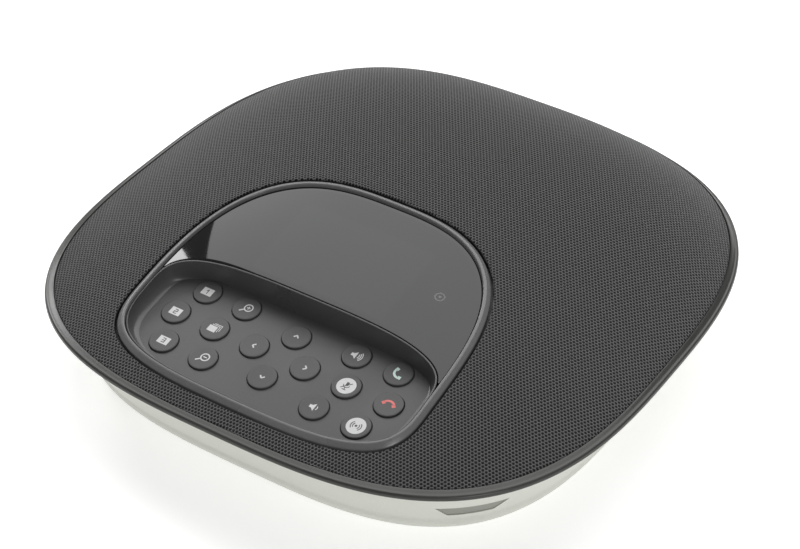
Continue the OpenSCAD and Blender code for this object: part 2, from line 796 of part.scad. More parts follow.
module small_screws() {
    color([0.68, 0.69, 0.70]) {
        on_key_deck() at_lugs() translate([0, 0, retainer_z]) small_screw(7);
        at_display_lugs() translate([0, 0, -bracket_t]) small_screw(3);
        at_board_posts() translate([0, 0, main_board_z + 1.6]) mirror([0, 0, 1]) small_screw(6);
    }
}

// ---- electronics ----

module main_board() {
    t = 1.6;
    top = main_board_z + t;
    color([0.10, 0.30, 0.17]) difference() {
        union() {
            translate([-main_half_x, main_back - main_d, main_board_z])
                cube([2 * main_half_x, main_d, t]);
            translate([-14, main_back - 44, top]) cube([22, 22, 2.2]);
            translate([18, main_back - 52, top]) cube([14, 12, 1.6]);
            translate([-40, main_back - 56, top]) cube([12, 16, 1.8]);
            translate([34, main_back - 22, top]) cube([10, 10, 4]);
            for (i = [0:3]) translate([-40 + 9 * i, main_back - 12, top]) cylinder(r = 3, h = 6);
            // Sockets for the two flat leads, against which the leads end.
            translate([-11, ribbon_main_y(), top]) cube([22, 4, 3]);
            translate([-16, main_back - 3.6, top]) cube([16, 3, 3]);
        }
        at_board_posts() translate([0, 0, main_board_z - 1])
            cylinder(r = small_screw_r + 0.2, h = t + 2);
    }
}
function ribbon_main_y() = main_back - 62;

// A flat lead of width w along points in the plane of y and z, thickness t.
module ribbon(x, w, t, path) {
    n = len(path);
    upper = [for (p = path) [p[0] + t, p[1]]];
    translate([x, 0, 0]) rotate([90, 0, 90]) linear_extrude(w)
        polygon(concat(path, [for (i = [n - 1:-1:0]) upper[i]]));
}

module keypad_ribbon() {
    top = main_board_z + 1.6;
    y0 = ribbon_main_y() + 5;
    y1 = keys_y + 18;
    color([0.75, 0.45, 0.15]) ribbon(-8, 16, 0.3, [
        [y0, top], [y0, top + 5], [mix(y0, y1, 0.5), top + 9], [y1, deck_height(y1) + board_z - 3],
        [y1, deck_height(y1) + board_z / cos(deck_tilt) - 0.05]
    ]);
}

module display_ribbon() {
    top = main_board_z + 1.6;
    y0 = main_back - 4.2;
    y1 = lcd_y + lcd_d / 2 + 1.6;
    z1 = dome_z(0, lcd_y) - lcd_drop - lcd_t + tan(lcd_slope) * (y1 - lcd_y);
    color([0.75, 0.45, 0.15]) ribbon(-14, 12, 0.3, [
        [y0, top], [y0, top + 12], [y1, top + 20], [y1, z1 + 2]
    ]);
}

// ---- loudspeaker ----

module at_driver() {
    translate([0, driver_y, 0]) children();
}

module enclosure_body(w, low, top, cap) {
    translate([-box_half_x + w, driver_y - box_half_y - 4 + w, low])
        cube([2 * (box_half_x - w), 2 * (box_half_y - w), top - low - w]);
    at_driver() translate([0, 0, low]) cylinder(r = tower_r - w, h = cap - low - w, $fn = 96);
}

module speaker_enclosure() {
    color([0.18, 0.18, 0.19]) difference() {
        enclosure_body(0, cover_top, box_top, driver_z);
        enclosure_body(box_wall, cover_top + box_wall, box_top, driver_z);
        at_driver() translate([0, 0, driver_z - 5]) cylinder(r = driver_r - 4.6, h = 10, $fn = 96);
        at_driver_screws() translate([0, 0, driver_z - 5])
            cylinder(r = small_screw_r + screw_gap, h = 10);
    }
}

module at_driver_screws() {
    at_driver() for (i = [0:3]) rotate([0, 0, 45 + 90 * i])
        translate([driver_r - 2.2, 0, 0]) children();
}

module speaker_gasket() {
    color([0.09, 0.09, 0.09]) at_driver() translate([0, 0, driver_z]) difference() {
        cylinder(r = driver_r, h = spk_seat - driver_z, $fn = 96);
        translate([0, 0, -1]) cylinder(r = driver_r - 4.6, h = 4, $fn = 96);
        for (i = [0:3]) rotate([0, 0, 45 + 90 * i]) translate([driver_r - 2.2, 0, -1])
            cylinder(r = small_screw_r + 0.2, h = 4);
    }
}

// Levels of the driver, down from its seat.
flange_top = spk_seat + 1.4;
cone_edge_r = driver_r - 10;
plate_top = spk_seat - 20;
magnet_top = plate_top - 3;
magnet_low = magnet_top - 7;
yoke_low = magnet_low - 3;
plate_r = 19;
gap_r = coil_r + 0.7;
pole_r = coil_r - 0.7;

module speaker_basket() {
    wall = 1.4;
    lip_r = driver_r - 5.2;
    color([0.15, 0.15, 0.16]) at_driver() difference() {
        rotate_extrude($fn = 96) polygon([
            [coil_r + 8, plate_top], [plate_r + 3, plate_top], [plate_r + 5, plate_top + 3],
            [lip_r, spk_seat - 2], [lip_r, spk_seat], [driver_r, spk_seat],
            [driver_r, flange_top], [lip_r - wall, flange_top], [lip_r - wall, spk_seat - 1.6],
            [plate_r + 5 - wall, plate_top + 4], [plate_r + 2, plate_top + wall],
            [coil_r + 8, plate_top + wall]
        ]);
        for (i = [0:3]) rotate([0, 0, 90 * i])
            translate([plate_r + 6, -9, plate_top + 5]) cube([20, 18, 11]);
        for (i = [0:3]) rotate([0, 0, 45 + 90 * i]) translate([driver_r - 2.2, 0, spk_seat - 1])
            cylinder(r = small_screw_r + 0.2, h = 6);
    }
}

module disc_ring(outer, inner, low, high) {
    at_driver() translate([0, 0, low]) difference() {
        cylinder(r = outer, h = high - low, $fn = 96);
        translate([0, 0, -1]) cylinder(r = inner, h = high - low + 2, $fn = 96);
    }
}

module speaker_top_plate() {
    color([0.55, 0.56, 0.58]) disc_ring(plate_r, gap_r, magnet_top, plate_top);
}

module speaker_magnet() {
    color([0.13, 0.13, 0.14]) disc_ring(plate_r + 3, gap_r + 3, magnet_low, magnet_top);
}

module speaker_yoke() {
    color([0.50, 0.51, 0.53]) at_driver() {
        translate([0, 0, yoke_low]) cylinder(r = plate_r, h = magnet_low - yoke_low, $fn = 96);
        translate([0, 0, yoke_low]) cylinder(r = pole_r, h = plate_top - yoke_low, $fn = 96);
    }
}

module voice_coil() {
    color([0.72, 0.45, 0.20])
        disc_ring(coil_r + 0.3, coil_r - 0.3, magnet_low + cone_travel + 1, plate_top + 9);
}

module speaker_cone() {
    t = 0.7;
    top = flange_top - 0.6;
    low = plate_top + 9;
    color([0.12, 0.12, 0.12]) at_driver() rotate_extrude($fn = 96) polygon([
        [coil_r + 0.3, low - 1], [coil_r + 0.3, low], [cone_edge_r - 3, top],
        [cone_edge_r, top], [cone_edge_r, top - t], [cone_edge_r - 2.6, top - t],
        [coil_r + 1.4, low - 1]
    ]);
}

module dust_cap() {
    r = coil_r + 0.3;
    rise = 3.4;
    low = plate_top + 9;
    t = 0.5;
    function arc(k, s) = [(r - s) * sin(k), low + (rise - s) * cos(k)];
    color([0.10, 0.10, 0.10]) at_driver() rotate_extrude($fn = 96) polygon(concat(
        [for (k = [0:15:90]) arc(k, 0)], [for (k = [90:-15:0]) arc(k, t)]
    ));
}

module speaker_surround() {
    t = 0.5;
    inner = cone_edge_r + 0.3;
    outer = driver_r - 6.6;
    mid = (inner + outer) / 2;
    roll = (outer - inner) / 2;
    z = flange_top;
    color([0.07, 0.07, 0.07]) at_driver() rotate_extrude($fn = 96) polygon(concat(
        [[outer + 2.2, z], [outer + 2.2, z + t], [outer, z + t]],
        [for (a = [15:15:165]) [mid + roll * cos(a), z + t / 2 + roll * sin(a)]],
        [[inner, z + t / 2], [inner, z - 0.6], [inner + t, z - 0.6]],
        [for (a = [165:-15:15]) [mid + (roll - t) * cos(a), z + (roll - t) * sin(a)]],
        [[outer - t, z]]
    ));
}

module speaker_spider() {
    color([0.70, 0.55, 0.30]) disc_ring(plate_r + 3.2, coil_r + 0.6, plate_top + 3.6, plate_top + 4);
}

module driver_screws() {
    color([0.68, 0.69, 0.70]) at_driver_screws()
        translate([0, 0, flange_top]) mirror([0, 0, 1]) small_screw(6);
}

// The speaker's lead runs from the enclosure's front wall down to the main board.
module speaker_lead() {
    r = 1.1;
    y1 = driver_y - box_half_y - 4;
    y0 = main_back - 9;
    z = box_top - 6;
    low = main_board_z + 1.6;
    color([0.60, 0.12, 0.10]) translate([24, 0, 0]) {
        translate([0, y0 + 3, z]) rotate([-90, 0, 0]) cylinder(r = r, h = y1 - y0 - 3);
        translate([0, y0, low]) cylinder(r = r, h = z - 3 - low);
        translate([0, y0 + 3, z - 3]) rotate([90, 0, -90])
            rotate_extrude(angle = 90) translate([3, 0]) circle(r = r);
    }
}

// ---- microphones and connectors ----

module mic_windows() {
    color([0.52, 0.53, 0.49]) for (c = [0:3]) wall_patch(c, 0.25, mic_recess - 0.1, 0);
}

module microphones() {
    color([0.10, 0.28, 0.16]) at_mic(base_wall + 0.4) {
        cylinder(r = 2.2, h = 2.4);
        translate([-5, -8, 2.4]) cube([10, 16, 1.2]);
    }
}

// A plate of the bay, between two heights. Its back edge follows the slope of the base wall.
module bay_plate(low, high, width) {
    front = bay_front + bay_wall;
    back = 1.2;
    rotate([90, 0, 90]) linear_extrude(width, center = true) polygon([
        [front, low], [base_half(rim_z - low) - back, low],
        [base_half(rim_z - high) - back, high], [front, high]
    ]);
}

// Ceiling, floor and two cheeks of the bay, a hair apart.
module bay_lining() {
    low = bay_z - bay_h / 2;
    high = bay_z + bay_h / 2;
    cheek_gap = 0.1;
    color([0.12, 0.12, 0.13]) {
        bay_plate(high - bay_lining_t, high, bay_w);
        bay_plate(low, low + bay_lining_t, bay_w);
        for (s = [-1, 1]) translate([s * (bay_w - bay_lining_t) / 2, 0, 0])
            bay_plate(low + bay_lining_t + cheek_gap, high - bay_lining_t - cheek_gap, bay_lining_t);
    }
}

// Upright plate at the bay's inner end, with the socket holes, on two legs.
module connector_housing() {
    leg_w = 6;
    leg_low = foot_h + base_wall;
    color([0.12, 0.12, 0.13]) difference() {
        union() {
            translate([-bay_w / 2, bay_front, bay_z - bay_h / 2]) cube([bay_w, bay_wall, bay_h]);
            for (s = [-1, 1]) translate([s * (bay_w / 2 - leg_w) - leg_w / 2, bay_front, leg_low])
                cube([leg_w, bay_wall, bay_z - leg_low]);
        }
        at_socket(0) cylinder(r = hub_bore_r + hub_wall + socket_gap, h = 30);
        for (s = [-1, 1]) at_socket(s) cylinder(r = jack_bore_r + jack_wall + socket_gap, h = 30);
    }
}

// Sockets stand on the socket board and point backwards.
module at_socket(s) {
    translate([s * jack_pitch, bay_front - socket_back, bay_z]) rotate([-90, 0, 0]) children();
}

module socket(bore, wall) {
    l = socket_back + bay_wall + socket_l;
    end_t = 2.6;
    difference() {
        cylinder(r = bore + wall, h = l);
        translate([0, 0, end_t]) cylinder(r = bore, h = l);
    }
}

module hub_socket() {
    color([0.66, 0.67, 0.69]) at_socket(0) socket(hub_bore_r, hub_wall);
}

module jack_sockets() {
    color([0.66, 0.67, 0.69]) for (s = [-1, 1]) at_socket(s) socket(jack_bore_r, jack_wall);
}

module socket_board() {
    color([0.10, 0.28, 0.16])
        translate([-bay_w / 2 + 2, bay_front - socket_back - socket_board_t, bay_z - bay_h / 2])
            cube([bay_w - 4, socket_board_t, bay_h]);
}

base_shell();
bottom_cover();
rubber_feet();
case_screws();
rim_ring();
grille_frame();
speaker_cloth();
console_frame();
console_bezel();
lens_gasket();
display_lens();
display_module();
display_bracket();
keypad_surround();
keypad_deck();
keypad_membrane();
dome_switches();
keypad_board();
keypad_retainer();
small_screws();
main_board();
display_ribbon();
keypad_ribbon();
speaker_enclosure();
speaker_gasket();
speaker_basket();
speaker_top_plate();
speaker_magnet();
speaker_yoke();
voice_coil();
speaker_cone();
dust_cap();
speaker_surround();
speaker_spider();
driver_screws();
speaker_lead();
mic_windows();
microphones();
connector_housing();
bay_lining();
hub_socket();
jack_sockets();
socket_board();
for (k = KEYS) key_cap(k);
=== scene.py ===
import math
import bpy
import numpy as np
from mathutils import Matrix, Vector


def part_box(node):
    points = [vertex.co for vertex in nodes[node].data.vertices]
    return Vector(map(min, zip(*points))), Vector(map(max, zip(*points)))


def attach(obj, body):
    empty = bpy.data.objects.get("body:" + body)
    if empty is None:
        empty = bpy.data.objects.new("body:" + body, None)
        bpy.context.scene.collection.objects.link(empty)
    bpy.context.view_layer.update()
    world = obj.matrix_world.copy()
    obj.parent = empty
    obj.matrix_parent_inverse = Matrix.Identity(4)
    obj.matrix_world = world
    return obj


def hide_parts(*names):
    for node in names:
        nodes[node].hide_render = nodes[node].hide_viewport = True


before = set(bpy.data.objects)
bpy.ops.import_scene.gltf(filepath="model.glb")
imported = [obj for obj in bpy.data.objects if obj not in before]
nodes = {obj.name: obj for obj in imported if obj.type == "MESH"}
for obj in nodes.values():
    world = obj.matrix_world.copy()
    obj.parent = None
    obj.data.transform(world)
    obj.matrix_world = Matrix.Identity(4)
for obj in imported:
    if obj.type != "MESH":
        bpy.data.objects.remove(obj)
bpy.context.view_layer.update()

mm = 0.001
scene = bpy.context.scene
print("frame loaded,", len(nodes), "nodes")


def boxOf(node):
    # lowest and highest corner of a CAD node, in millimetres
    low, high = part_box(node)
    return np.array(low) / mm, np.array(high) / mm


# the body's own shapes, all in millimetres
body = {
    "half": boxOf("rim_ring")[1][0], "rim": boxOf("rim_ring")[0][2],
    "floor": boxOf("base_shell")[0][2],
    "powerFront": 3.05, "powerBack": 2.83, "powerBase": 3.23,
    "inset": 3, "taper": 10.6, "corner": 9, "wall": 2.4,
}
dome = {"edge": 0.8, "rise": 27.3, "lean": 14.3, "swell": 5.3, "power": 2.66}
console = {
    "half": 63.9, "front": 30.8, "back": 76.7, "middle": -78, "powerFront": 3.2, "powerBack": 3,
    "bezel": 2.7, "lensDrop": 0.5, "clothGap": 1,
}
well = {"half": 61.0, "front": 27.9, "back": 21, "power": 4, "edge": 0.6, "coveSide": 3.8,
        "coveFront": 3, "toe": 0.06}
deck = {"tilt": math.radians(9.7), "drop": 9.35}
fitGap = 0.2
turn = 2 * math.pi


def unitRadius(angle, power):
    # radius at an angle of the curve |x|^n + |y|^n = 1
    return (np.abs(np.cos(angle)) ** power + np.abs(np.sin(angle)) ** power) ** (-1 / power)


def oval(width, front, back, middle, powerFront, powerBack, angle):
    # x = w r cos t, y = middle + d r sin t, where d and the power differ in front and behind
    behind = np.sin(angle) > 0
    r = unitRadius(angle, np.where(behind, powerBack, powerFront))
    return width * r * np.cos(angle), middle + np.where(behind, back, front) * r * np.sin(angle)


def planOutline(half, angle):
    return oval(half, half, half, 0, body["powerFront"], body["powerBack"], angle)


def consoleOutline(grow, angle):
    c = console
    return oval(c["half"] + grow, c["front"] + grow, c["back"] + grow, c["middle"],
                c["powerFront"], c["powerBack"], angle)


def wellOutline(grow, angle):
    return oval(well["half"] + grow, well["front"] + grow, well["back"] + grow, console["middle"],
                console["powerFront"], well["power"], angle)


def footOutline(angle):
    return oval(well["half"] - well["edge"] - well["coveSide"],
                well["front"] - well["edge"] - well["coveFront"], well["back"] - well["edge"],
                console["middle"], console["powerFront"], well["power"] + 1, angle)


def domeHeight(x, y):
    # rim + edge + (1 - s^p)(rise + lean u + swell u^2), s the share of the way out, u = y / half
    n = np.where(y > 0, body["powerBack"], body["powerFront"])
    s = (np.abs(x / body["half"]) ** n + np.abs(y / body["half"]) ** n) ** (1 / n)
    u = y / body["half"]
    bulge = dome["rise"] + dome["lean"] * u + dome["swell"] * u * u
    return body["rim"] + dome["edge"] + (1 - np.minimum(s, 1) ** dome["power"]) * bulge


deckHeight = float(domeHeight(0.0, console["middle"])) - deck["drop"]


def onDeck(y):
    return deckHeight + (y - console["middle"]) * math.tan(deck["tilt"])


def lift(outline, height):
    # points of a plan outline at one height above the dome
    x, y = outline
    return np.stack([x, y, domeHeight(x, y) + height], -1)


def level(outline, z):
    x, y = outline
    return np.stack([x, y, z + 0 * x], -1)


def roundedProfile(corners, steps):
    # Catmull-Rom curve through the corners: 0.5 (2p1 + (p2-p0)t + (2p0-5p1+4p2-p3)t^2
    # + (3p1-p0-3p2+p3)t^3), with the end corners repeated
    p = np.array(corners, float)
    p = np.vstack([p[:1], p, p[-1:]])
    t = np.linspace(0, 1, steps, endpoint=False)[None, :, None]
    a, b, c, d = p[:-3, None], p[1:-2, None], p[2:-1, None], p[3:, None]
    curve = 0.5 * (2 * b + (c - a) * t + (2 * a - 5 * b + 4 * c - d) * t ** 2
                   + (3 * b - a - 3 * c + d) * t ** 3)
    return np.vstack([curve.reshape(-1, p.shape[1]), p[-1:]])


def gridQuads(rows, columns, closedRows, closedColumns):
    # corner indices of the cells of a grid of points, row by row
    i = np.arange(rows - (0 if closedRows else 1))[:, None]
    j = np.arange(columns - (0 if closedColumns else 1))[None, :]
    up, on = (i + 1) % rows, (j + 1) % columns
    corners = [i * columns + j, i * columns + on, up * columns + on, up * columns + j]
    return np.stack([c + 0 * i + 0 * j for c in corners], -1)


def addPiece(name, points, quads, rider, replaced=(), sharp=40):
    # a mesh object from points in millimetres and four-cornered faces
    quads = np.asarray(quads).reshape(-1, 4)
    mesh = bpy.data.meshes.new(name)
    mesh.from_pydata((np.asarray(points, float).reshape(-1, 3) * mm).tolist(), [], quads.tolist())
    mesh.validate()
    mesh.shade_smooth()
    mesh.set_sharp_from_angle(angle=math.radians(sharp))
    piece = bpy.data.objects.new(name, mesh)
    scene.collection.objects.link(piece)
    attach(piece, rider)
    if replaced:
        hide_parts(*replaced)
    return piece


def ringPiece(name, loops, replaced=(), rider="root", sharp=40):
    # a closed ring, its loops going up the outside, over the top and down the inside
    loops = np.stack(loops)
    rows, columns = loops.shape[:2]
    quads = gridQuads(rows, columns, True, True)
    return addPiece(name, loops, quads, rider, replaced, sharp)


def sheetShape(top, low):
    # points and faces of a plate between two grids of the same size, walls round its edge
    rows, columns = top.shape[:2]
    points = np.concatenate([top.reshape(-1, 3), low.reshape(-1, 3)])
    upper = gridQuads(rows, columns, False, False).reshape(-1, 4)
    under = upper[:, ::-1] + rows * columns
    index = np.arange(rows * columns).reshape(rows, columns)
    edge = np.concatenate([index[0, :-1], index[:-1, -1], index[-1, :0:-1], index[:0:-1, 0]])
    after = np.roll(edge, -1)
    wall = np.stack([edge, edge + rows * columns, after + rows * columns, after], -1)
    return points, np.concatenate([upper, under, wall])


def lathe(profile, steps):
    # x = r cos t, y = r sin t, z = z along a profile of (r, z) from the foot to the top
    profile = np.array(profile, float)
    t = np.linspace(0, turn, steps, endpoint=False)
    r, z = profile[:, 0, None], profile[:, 1, None]
    return np.stack([r * np.cos(t), r * np.sin(t), z + 0 * t], -1)


def newGroup(name, inputs, outputs):
    group = bpy.data.node_groups.new(name, "ShaderNodeTree")
    for label, kind, value in inputs:
        socket = group.interface.new_socket(label, in_out="INPUT", socket_type="NodeSocket" + kind)
        if value is not None:
            socket.default_value = value
    for label, kind in outputs:
        group.interface.new_socket(label, in_out="OUTPUT", socket_type="NodeSocket" + kind)
    return group, group.nodes.new("NodeGroupInput"), group.nodes.new("NodeGroupOutput")


def join(tree, source, target):
    tree.links.new(source, target)


def mathNode(tree, operation, *values, clamp=False):
    node = tree.nodes.new("ShaderNodeMath")
    node.operation = operation
    node.use_clamp = clamp
    for socket, value in zip(node.inputs, values):
        if isinstance(value, (int, float)):
            socket.default_value = value
        else:
            join(tree, value, socket)
    return node.outputs[0]


def vectorNode(tree, operation, *values):
    node = tree.nodes.new("ShaderNodeVectorMath")
    node.operation = operation
    for socket, value in zip(node.inputs, values):
        if isinstance(value, tuple):
            socket.default_value = value
        elif isinstance(value, (int, float)):
            socket.default_value = (value, value, value)
        else:
            join(tree, value, socket)
    return node


def rampNode(tree, value, low, high, outLow=0.0, outHigh=1.0):
    node = tree.nodes.new("ShaderNodeMapRange")
    node.interpolation_type = "SMOOTHSTEP"
    for socket, number in zip(list(node.inputs)[1:5], (low, high, outLow, outHigh)):
        if isinstance(number, (int, float)):
            socket.default_value = number
        else:
            join(tree, number, socket)
    join(tree, value, node.inputs[0])
    return node.outputs[0]


def noiseNode(tree, vector, scale, detail=2.0):
    node = tree.nodes.new("ShaderNodeTexNoise")
    node.inputs["Detail"].default_value = detail
    join(tree, vector, node.inputs["Vector"])
    if isinstance(scale, (int, float)):
        node.inputs["Scale"].default_value = scale
    else:
        join(tree, scale, node.inputs["Scale"])
    return node.outputs[0]


def makeMouldedGrain():
    # spark-eroded texture of moulded plastic: two noises of different grain, and slow smudges
    tree, given, out = newGroup("mouldedGrain", [
        ("Vector", "Vector", None), ("Grain Size", "Float", 0.3), ("Smudge Size", "Float", 40.0),
    ], [("Height", "Float"), ("Shade", "Float"), ("Smudge", "Float")])
    fine = mathNode(tree, "DIVIDE", 1 / mm, given.outputs["Grain Size"])
    slow = mathNode(tree, "DIVIDE", 1 / mm, given.outputs["Smudge Size"])
    small = noiseNode(tree, given.outputs["Vector"], fine, 2)
    coarse = noiseNode(tree, given.outputs["Vector"], mathNode(tree, "MULTIPLY", fine, 0.31), 1)
    height = mathNode(tree, "ADD", mathNode(tree, "MULTIPLY", small, 0.65),
                      mathNode(tree, "MULTIPLY", coarse, 0.35))
    join(tree, height, out.inputs["Height"])
    join(tree, rampNode(tree, height, 0.35, 0.65), out.inputs["Shade"])
    smudge = noiseNode(tree, given.outputs["Vector"], slow, 3)
    join(tree, rampNode(tree, smudge, 0.38, 0.66), out.inputs["Smudge"])
    return tree


def makeDust():
    # sparse specks, where a cell's random value is over the share
    tree, given, out = newGroup("dustSpecks", [
        ("Vector", "Vector", None), ("Spacing", "Float", 3.0), ("Speck", "Float", 0.12),
        ("Share", "Float", 0.6),
    ], [("Specks", "Float")])
    cells = tree.nodes.new("ShaderNodeTexVoronoi")
    join(tree, given.outputs["Vector"], cells.inputs["Vector"])
    join(tree, mathNode(tree, "DIVIDE", 1 / mm, given.outputs["Spacing"]), cells.inputs["Scale"])
    size = mathNode(tree, "DIVIDE", given.outputs["Speck"], given.outputs["Spacing"])
    near = mathNode(tree, "LESS_THAN", cells.outputs["Distance"], size)
    split = tree.nodes.new("ShaderNodeSeparateColor")
    join(tree, cells.outputs["Color"], split.inputs[0])
    chosen = mathNode(tree, "GREATER_THAN", split.outputs[0], given.outputs["Share"])
    join(tree, mathNode(tree, "MULTIPLY", near, chosen), out.inputs["Specks"])
    return tree


def makeStaggeredHoles():
    # six-fold rows of round holes: the nearer of two square-cornered lattices, one of them shifted
    # by half a cell, gives the distance to a hole's middle
    tree, given, out = newGroup("staggeredHoles", [
        ("Vector", "Vector", None), ("Pitch", "Float", 1.5), ("Hole", "Float", 0.36),
        ("Soft", "Float", 0.2),
    ], [("Hole", "Float"), ("Strand", "Float")])
    cellX = mathNode(tree, "MULTIPLY", given.outputs["Pitch"], mm)
    cellY = mathNode(tree, "MULTIPLY", cellX, math.sqrt(3))
    cell = tree.nodes.new("ShaderNodeCombineXYZ")
    join(tree, cellX, cell.inputs[0])
    join(tree, cellY, cell.inputs[1])
    flat = vectorNode(tree, "MULTIPLY", given.outputs["Vector"], (1, 1, 0)).outputs[0]
    half = vectorNode(tree, "MULTIPLY", cell.outputs[0], (0.5, 0.5, 0)).outputs[0]
    back = vectorNode(tree, "MULTIPLY", half, (-1, -1, 0)).outputs[0]
    distances = []
    for place in (flat, vectorNode(tree, "ADD", flat, half).outputs[0]):
        wrapped = vectorNode(tree, "WRAP", place, half, back).outputs[0]
        distances.append(vectorNode(tree, "LENGTH", wrapped).outputs["Value"])
    nearest = mathNode(tree, "DIVIDE", mathNode(tree, "MINIMUM", *distances), cellX)
    inner = mathNode(tree, "SUBTRACT", given.outputs["Hole"], given.outputs["Soft"])
    outer = mathNode(tree, "ADD", given.outputs["Hole"], given.outputs["Soft"])
    join(tree, rampNode(tree, nearest, inner, outer, 1.0, 0.0), out.inputs["Hole"])
    join(tree, rampNode(tree, nearest, inner, 0.577), out.inputs["Strand"])
    return tree


mouldedGrain, dustSpecks, staggeredHoles = makeMouldedGrain(), makeDust(), makeStaggeredHoles()


def startMaterial(name, settings):
    material = bpy.data.materials.new(name)
    material.use_nodes = True
    tree = material.node_tree
    shader = tree.nodes["Principled BSDF"]
    for label, value in settings.items():
        shader.inputs[label].default_value = value
    place = tree.nodes.new("ShaderNodeTexCoord").outputs["Object"]
    return material, tree, shader, place


def useGroup(tree, group, place, values):
    node = tree.nodes.new("ShaderNodeGroup")
    node.node_tree = group
    join(tree, place, node.inputs["Vector"])
    for label, value in values.items():
        node.inputs[label].default_value = value
    return node.outputs


def mixColors(tree, share, first, second):
    node = tree.nodes.new("ShaderNodeMix")
    node.data_type = "RGBA"
    for socket, value in zip((node.inputs[0], node.inputs[6], node.inputs[7]),
                             (share, first, second)):
        if isinstance(value, (int, float)):
            socket.default_value = value
        elif isinstance(value, (tuple, list)):
            socket.default_value = (*value, 1) if len(value) == 3 else value
        else:
            join(tree, value, socket)
    return node.outputs[2]


def bump(tree, shader, height, depth, strength=1.0, under=None):
    # depth in millimetres
    node = tree.nodes.new("ShaderNodeBump")
    node.inputs["Distance"].default_value = depth * mm
    node.inputs["Strength"].default_value = strength
    join(tree, height, node.inputs["Height"])
    if under is not None:
        join(tree, under, node.inputs["Normal"])
    join(tree, node.outputs[0], shader.inputs["Normal"])
    return node.outputs[0]


def mouldedPlastic(name, low, high, rough=(0.4, 0.5), grain=0.3, depth=0.01, dust=0.0, smudge=40,
                   **settings):
    # two shades mixed by the grain and slow smudges, roughness from the smudges, bumped grain
    material, tree, shader, place = startMaterial(name, settings)
    marks = useGroup(tree, mouldedGrain, place, {"Grain Size": grain, "Smudge Size": smudge})
    share = mathNode(tree, "ADD", mathNode(tree, "MULTIPLY", marks["Shade"], 0.5),
                     mathNode(tree, "MULTIPLY", marks["Smudge"], 0.5))
    color = mixColors(tree, share, low, high)
    if dust:
        specks = useGroup(tree, dustSpecks, place,
                          {"Spacing": 2.6, "Speck": 0.09, "Share": 1 - dust})
        pale = tuple(min(1, 2.2 * c + 0.05) for c in high)
        color = mixColors(tree, specks["Specks"], color, pale)
    join(tree, color, shader.inputs["Base Color"])
    join(tree, rampNode(tree, marks["Smudge"], 0, 1, *rough), shader.inputs["Roughness"])
    bump(tree, shader, marks["Height"], depth)
    return material


def brushedMetal(name, low, high, rough=(0.25, 0.45), stretch=(1, 30, 30), metallic=1.0):
    # fine scratches: one noise, stretched along one direction
    material, tree, shader, place = startMaterial(name, {"Metallic": metallic})
    long = vectorNode(tree, "MULTIPLY", place, tuple(120.0 * s for s in stretch)).outputs[0]
    lines = noiseNode(tree, long, 1.0, 4)
    join(tree, mixColors(tree, rampNode(tree, lines, 0.3, 0.7), low, high),
         shader.inputs["Base Color"])
    join(tree, rampNode(tree, lines, 0.3, 0.7, *rough), shader.inputs["Roughness"])
    bump(tree, shader, lines, 0.01)
    return material


def wovenCloth(name, look):
    # knitted mesh: staggered holes painted near black, painted shade for the inside of the
    # openings, between strands of mottled grey, fuzz on the strands
    material, tree, shader, place = startMaterial(name, {
        "Sheen Weight": look["sheen"], "Sheen Roughness": 0.5, "Specular IOR Level": 0.3})
    turned = tree.nodes.new("ShaderNodeVectorRotate")
    turned.rotation_type = "Z_AXIS"
    turned.inputs["Angle"].default_value = math.radians(look["turn"])
    join(tree, place, turned.inputs["Vector"])
    holes = useGroup(tree, staggeredHoles, turned.outputs["Vector"],
                     {"Pitch": look["pitch"], "Hole": look["hole"], "Soft": look["soft"]})
    fuzz = useGroup(tree, mouldedGrain, place, {"Grain Size": look["fuzz"], "Smudge Size": 60.0})
    strand = mixColors(tree, fuzz["Shade"], look["strandLow"], look["strandHigh"])
    # the hole pattern is real; its near-black colour is painted shade inside the openings
    join(tree, mixColors(tree, holes["Hole"], strand, look["holeColor"]),
         shader.inputs["Base Color"])
    join(tree, rampNode(tree, holes["Hole"], 0, 1, look["rough"], 0.9), shader.inputs["Roughness"])
    height = mathNode(tree, "ADD", mathNode(tree, "MULTIPLY", holes["Strand"], 0.85),
                      mathNode(tree, "MULTIPLY", fuzz["Height"], 0.15))
    bump(tree, shader, height, look["depth"])
    return material


def circuitBoard(name):
    # solder mask over square copper fields
    material, tree, shader, place = startMaterial(name, {"Coat Weight": 0.3})
    cells = tree.nodes.new("ShaderNodeTexVoronoi")
    cells.distance = "MANHATTAN"
    cells.inputs["Scale"].default_value = 160
    join(tree, place, cells.inputs["Vector"])
    copper = rampNode(tree, cells.outputs["Distance"], 0.25, 0.32)
    join(tree, mixColors(tree, copper, (0.02, 0.10, 0.045), (0.012, 0.055, 0.03)),
         shader.inputs["Base Color"])
    shader.inputs["Roughness"].default_value = 0.35
    bump(tree, shader, copper, 0.03)
    return material


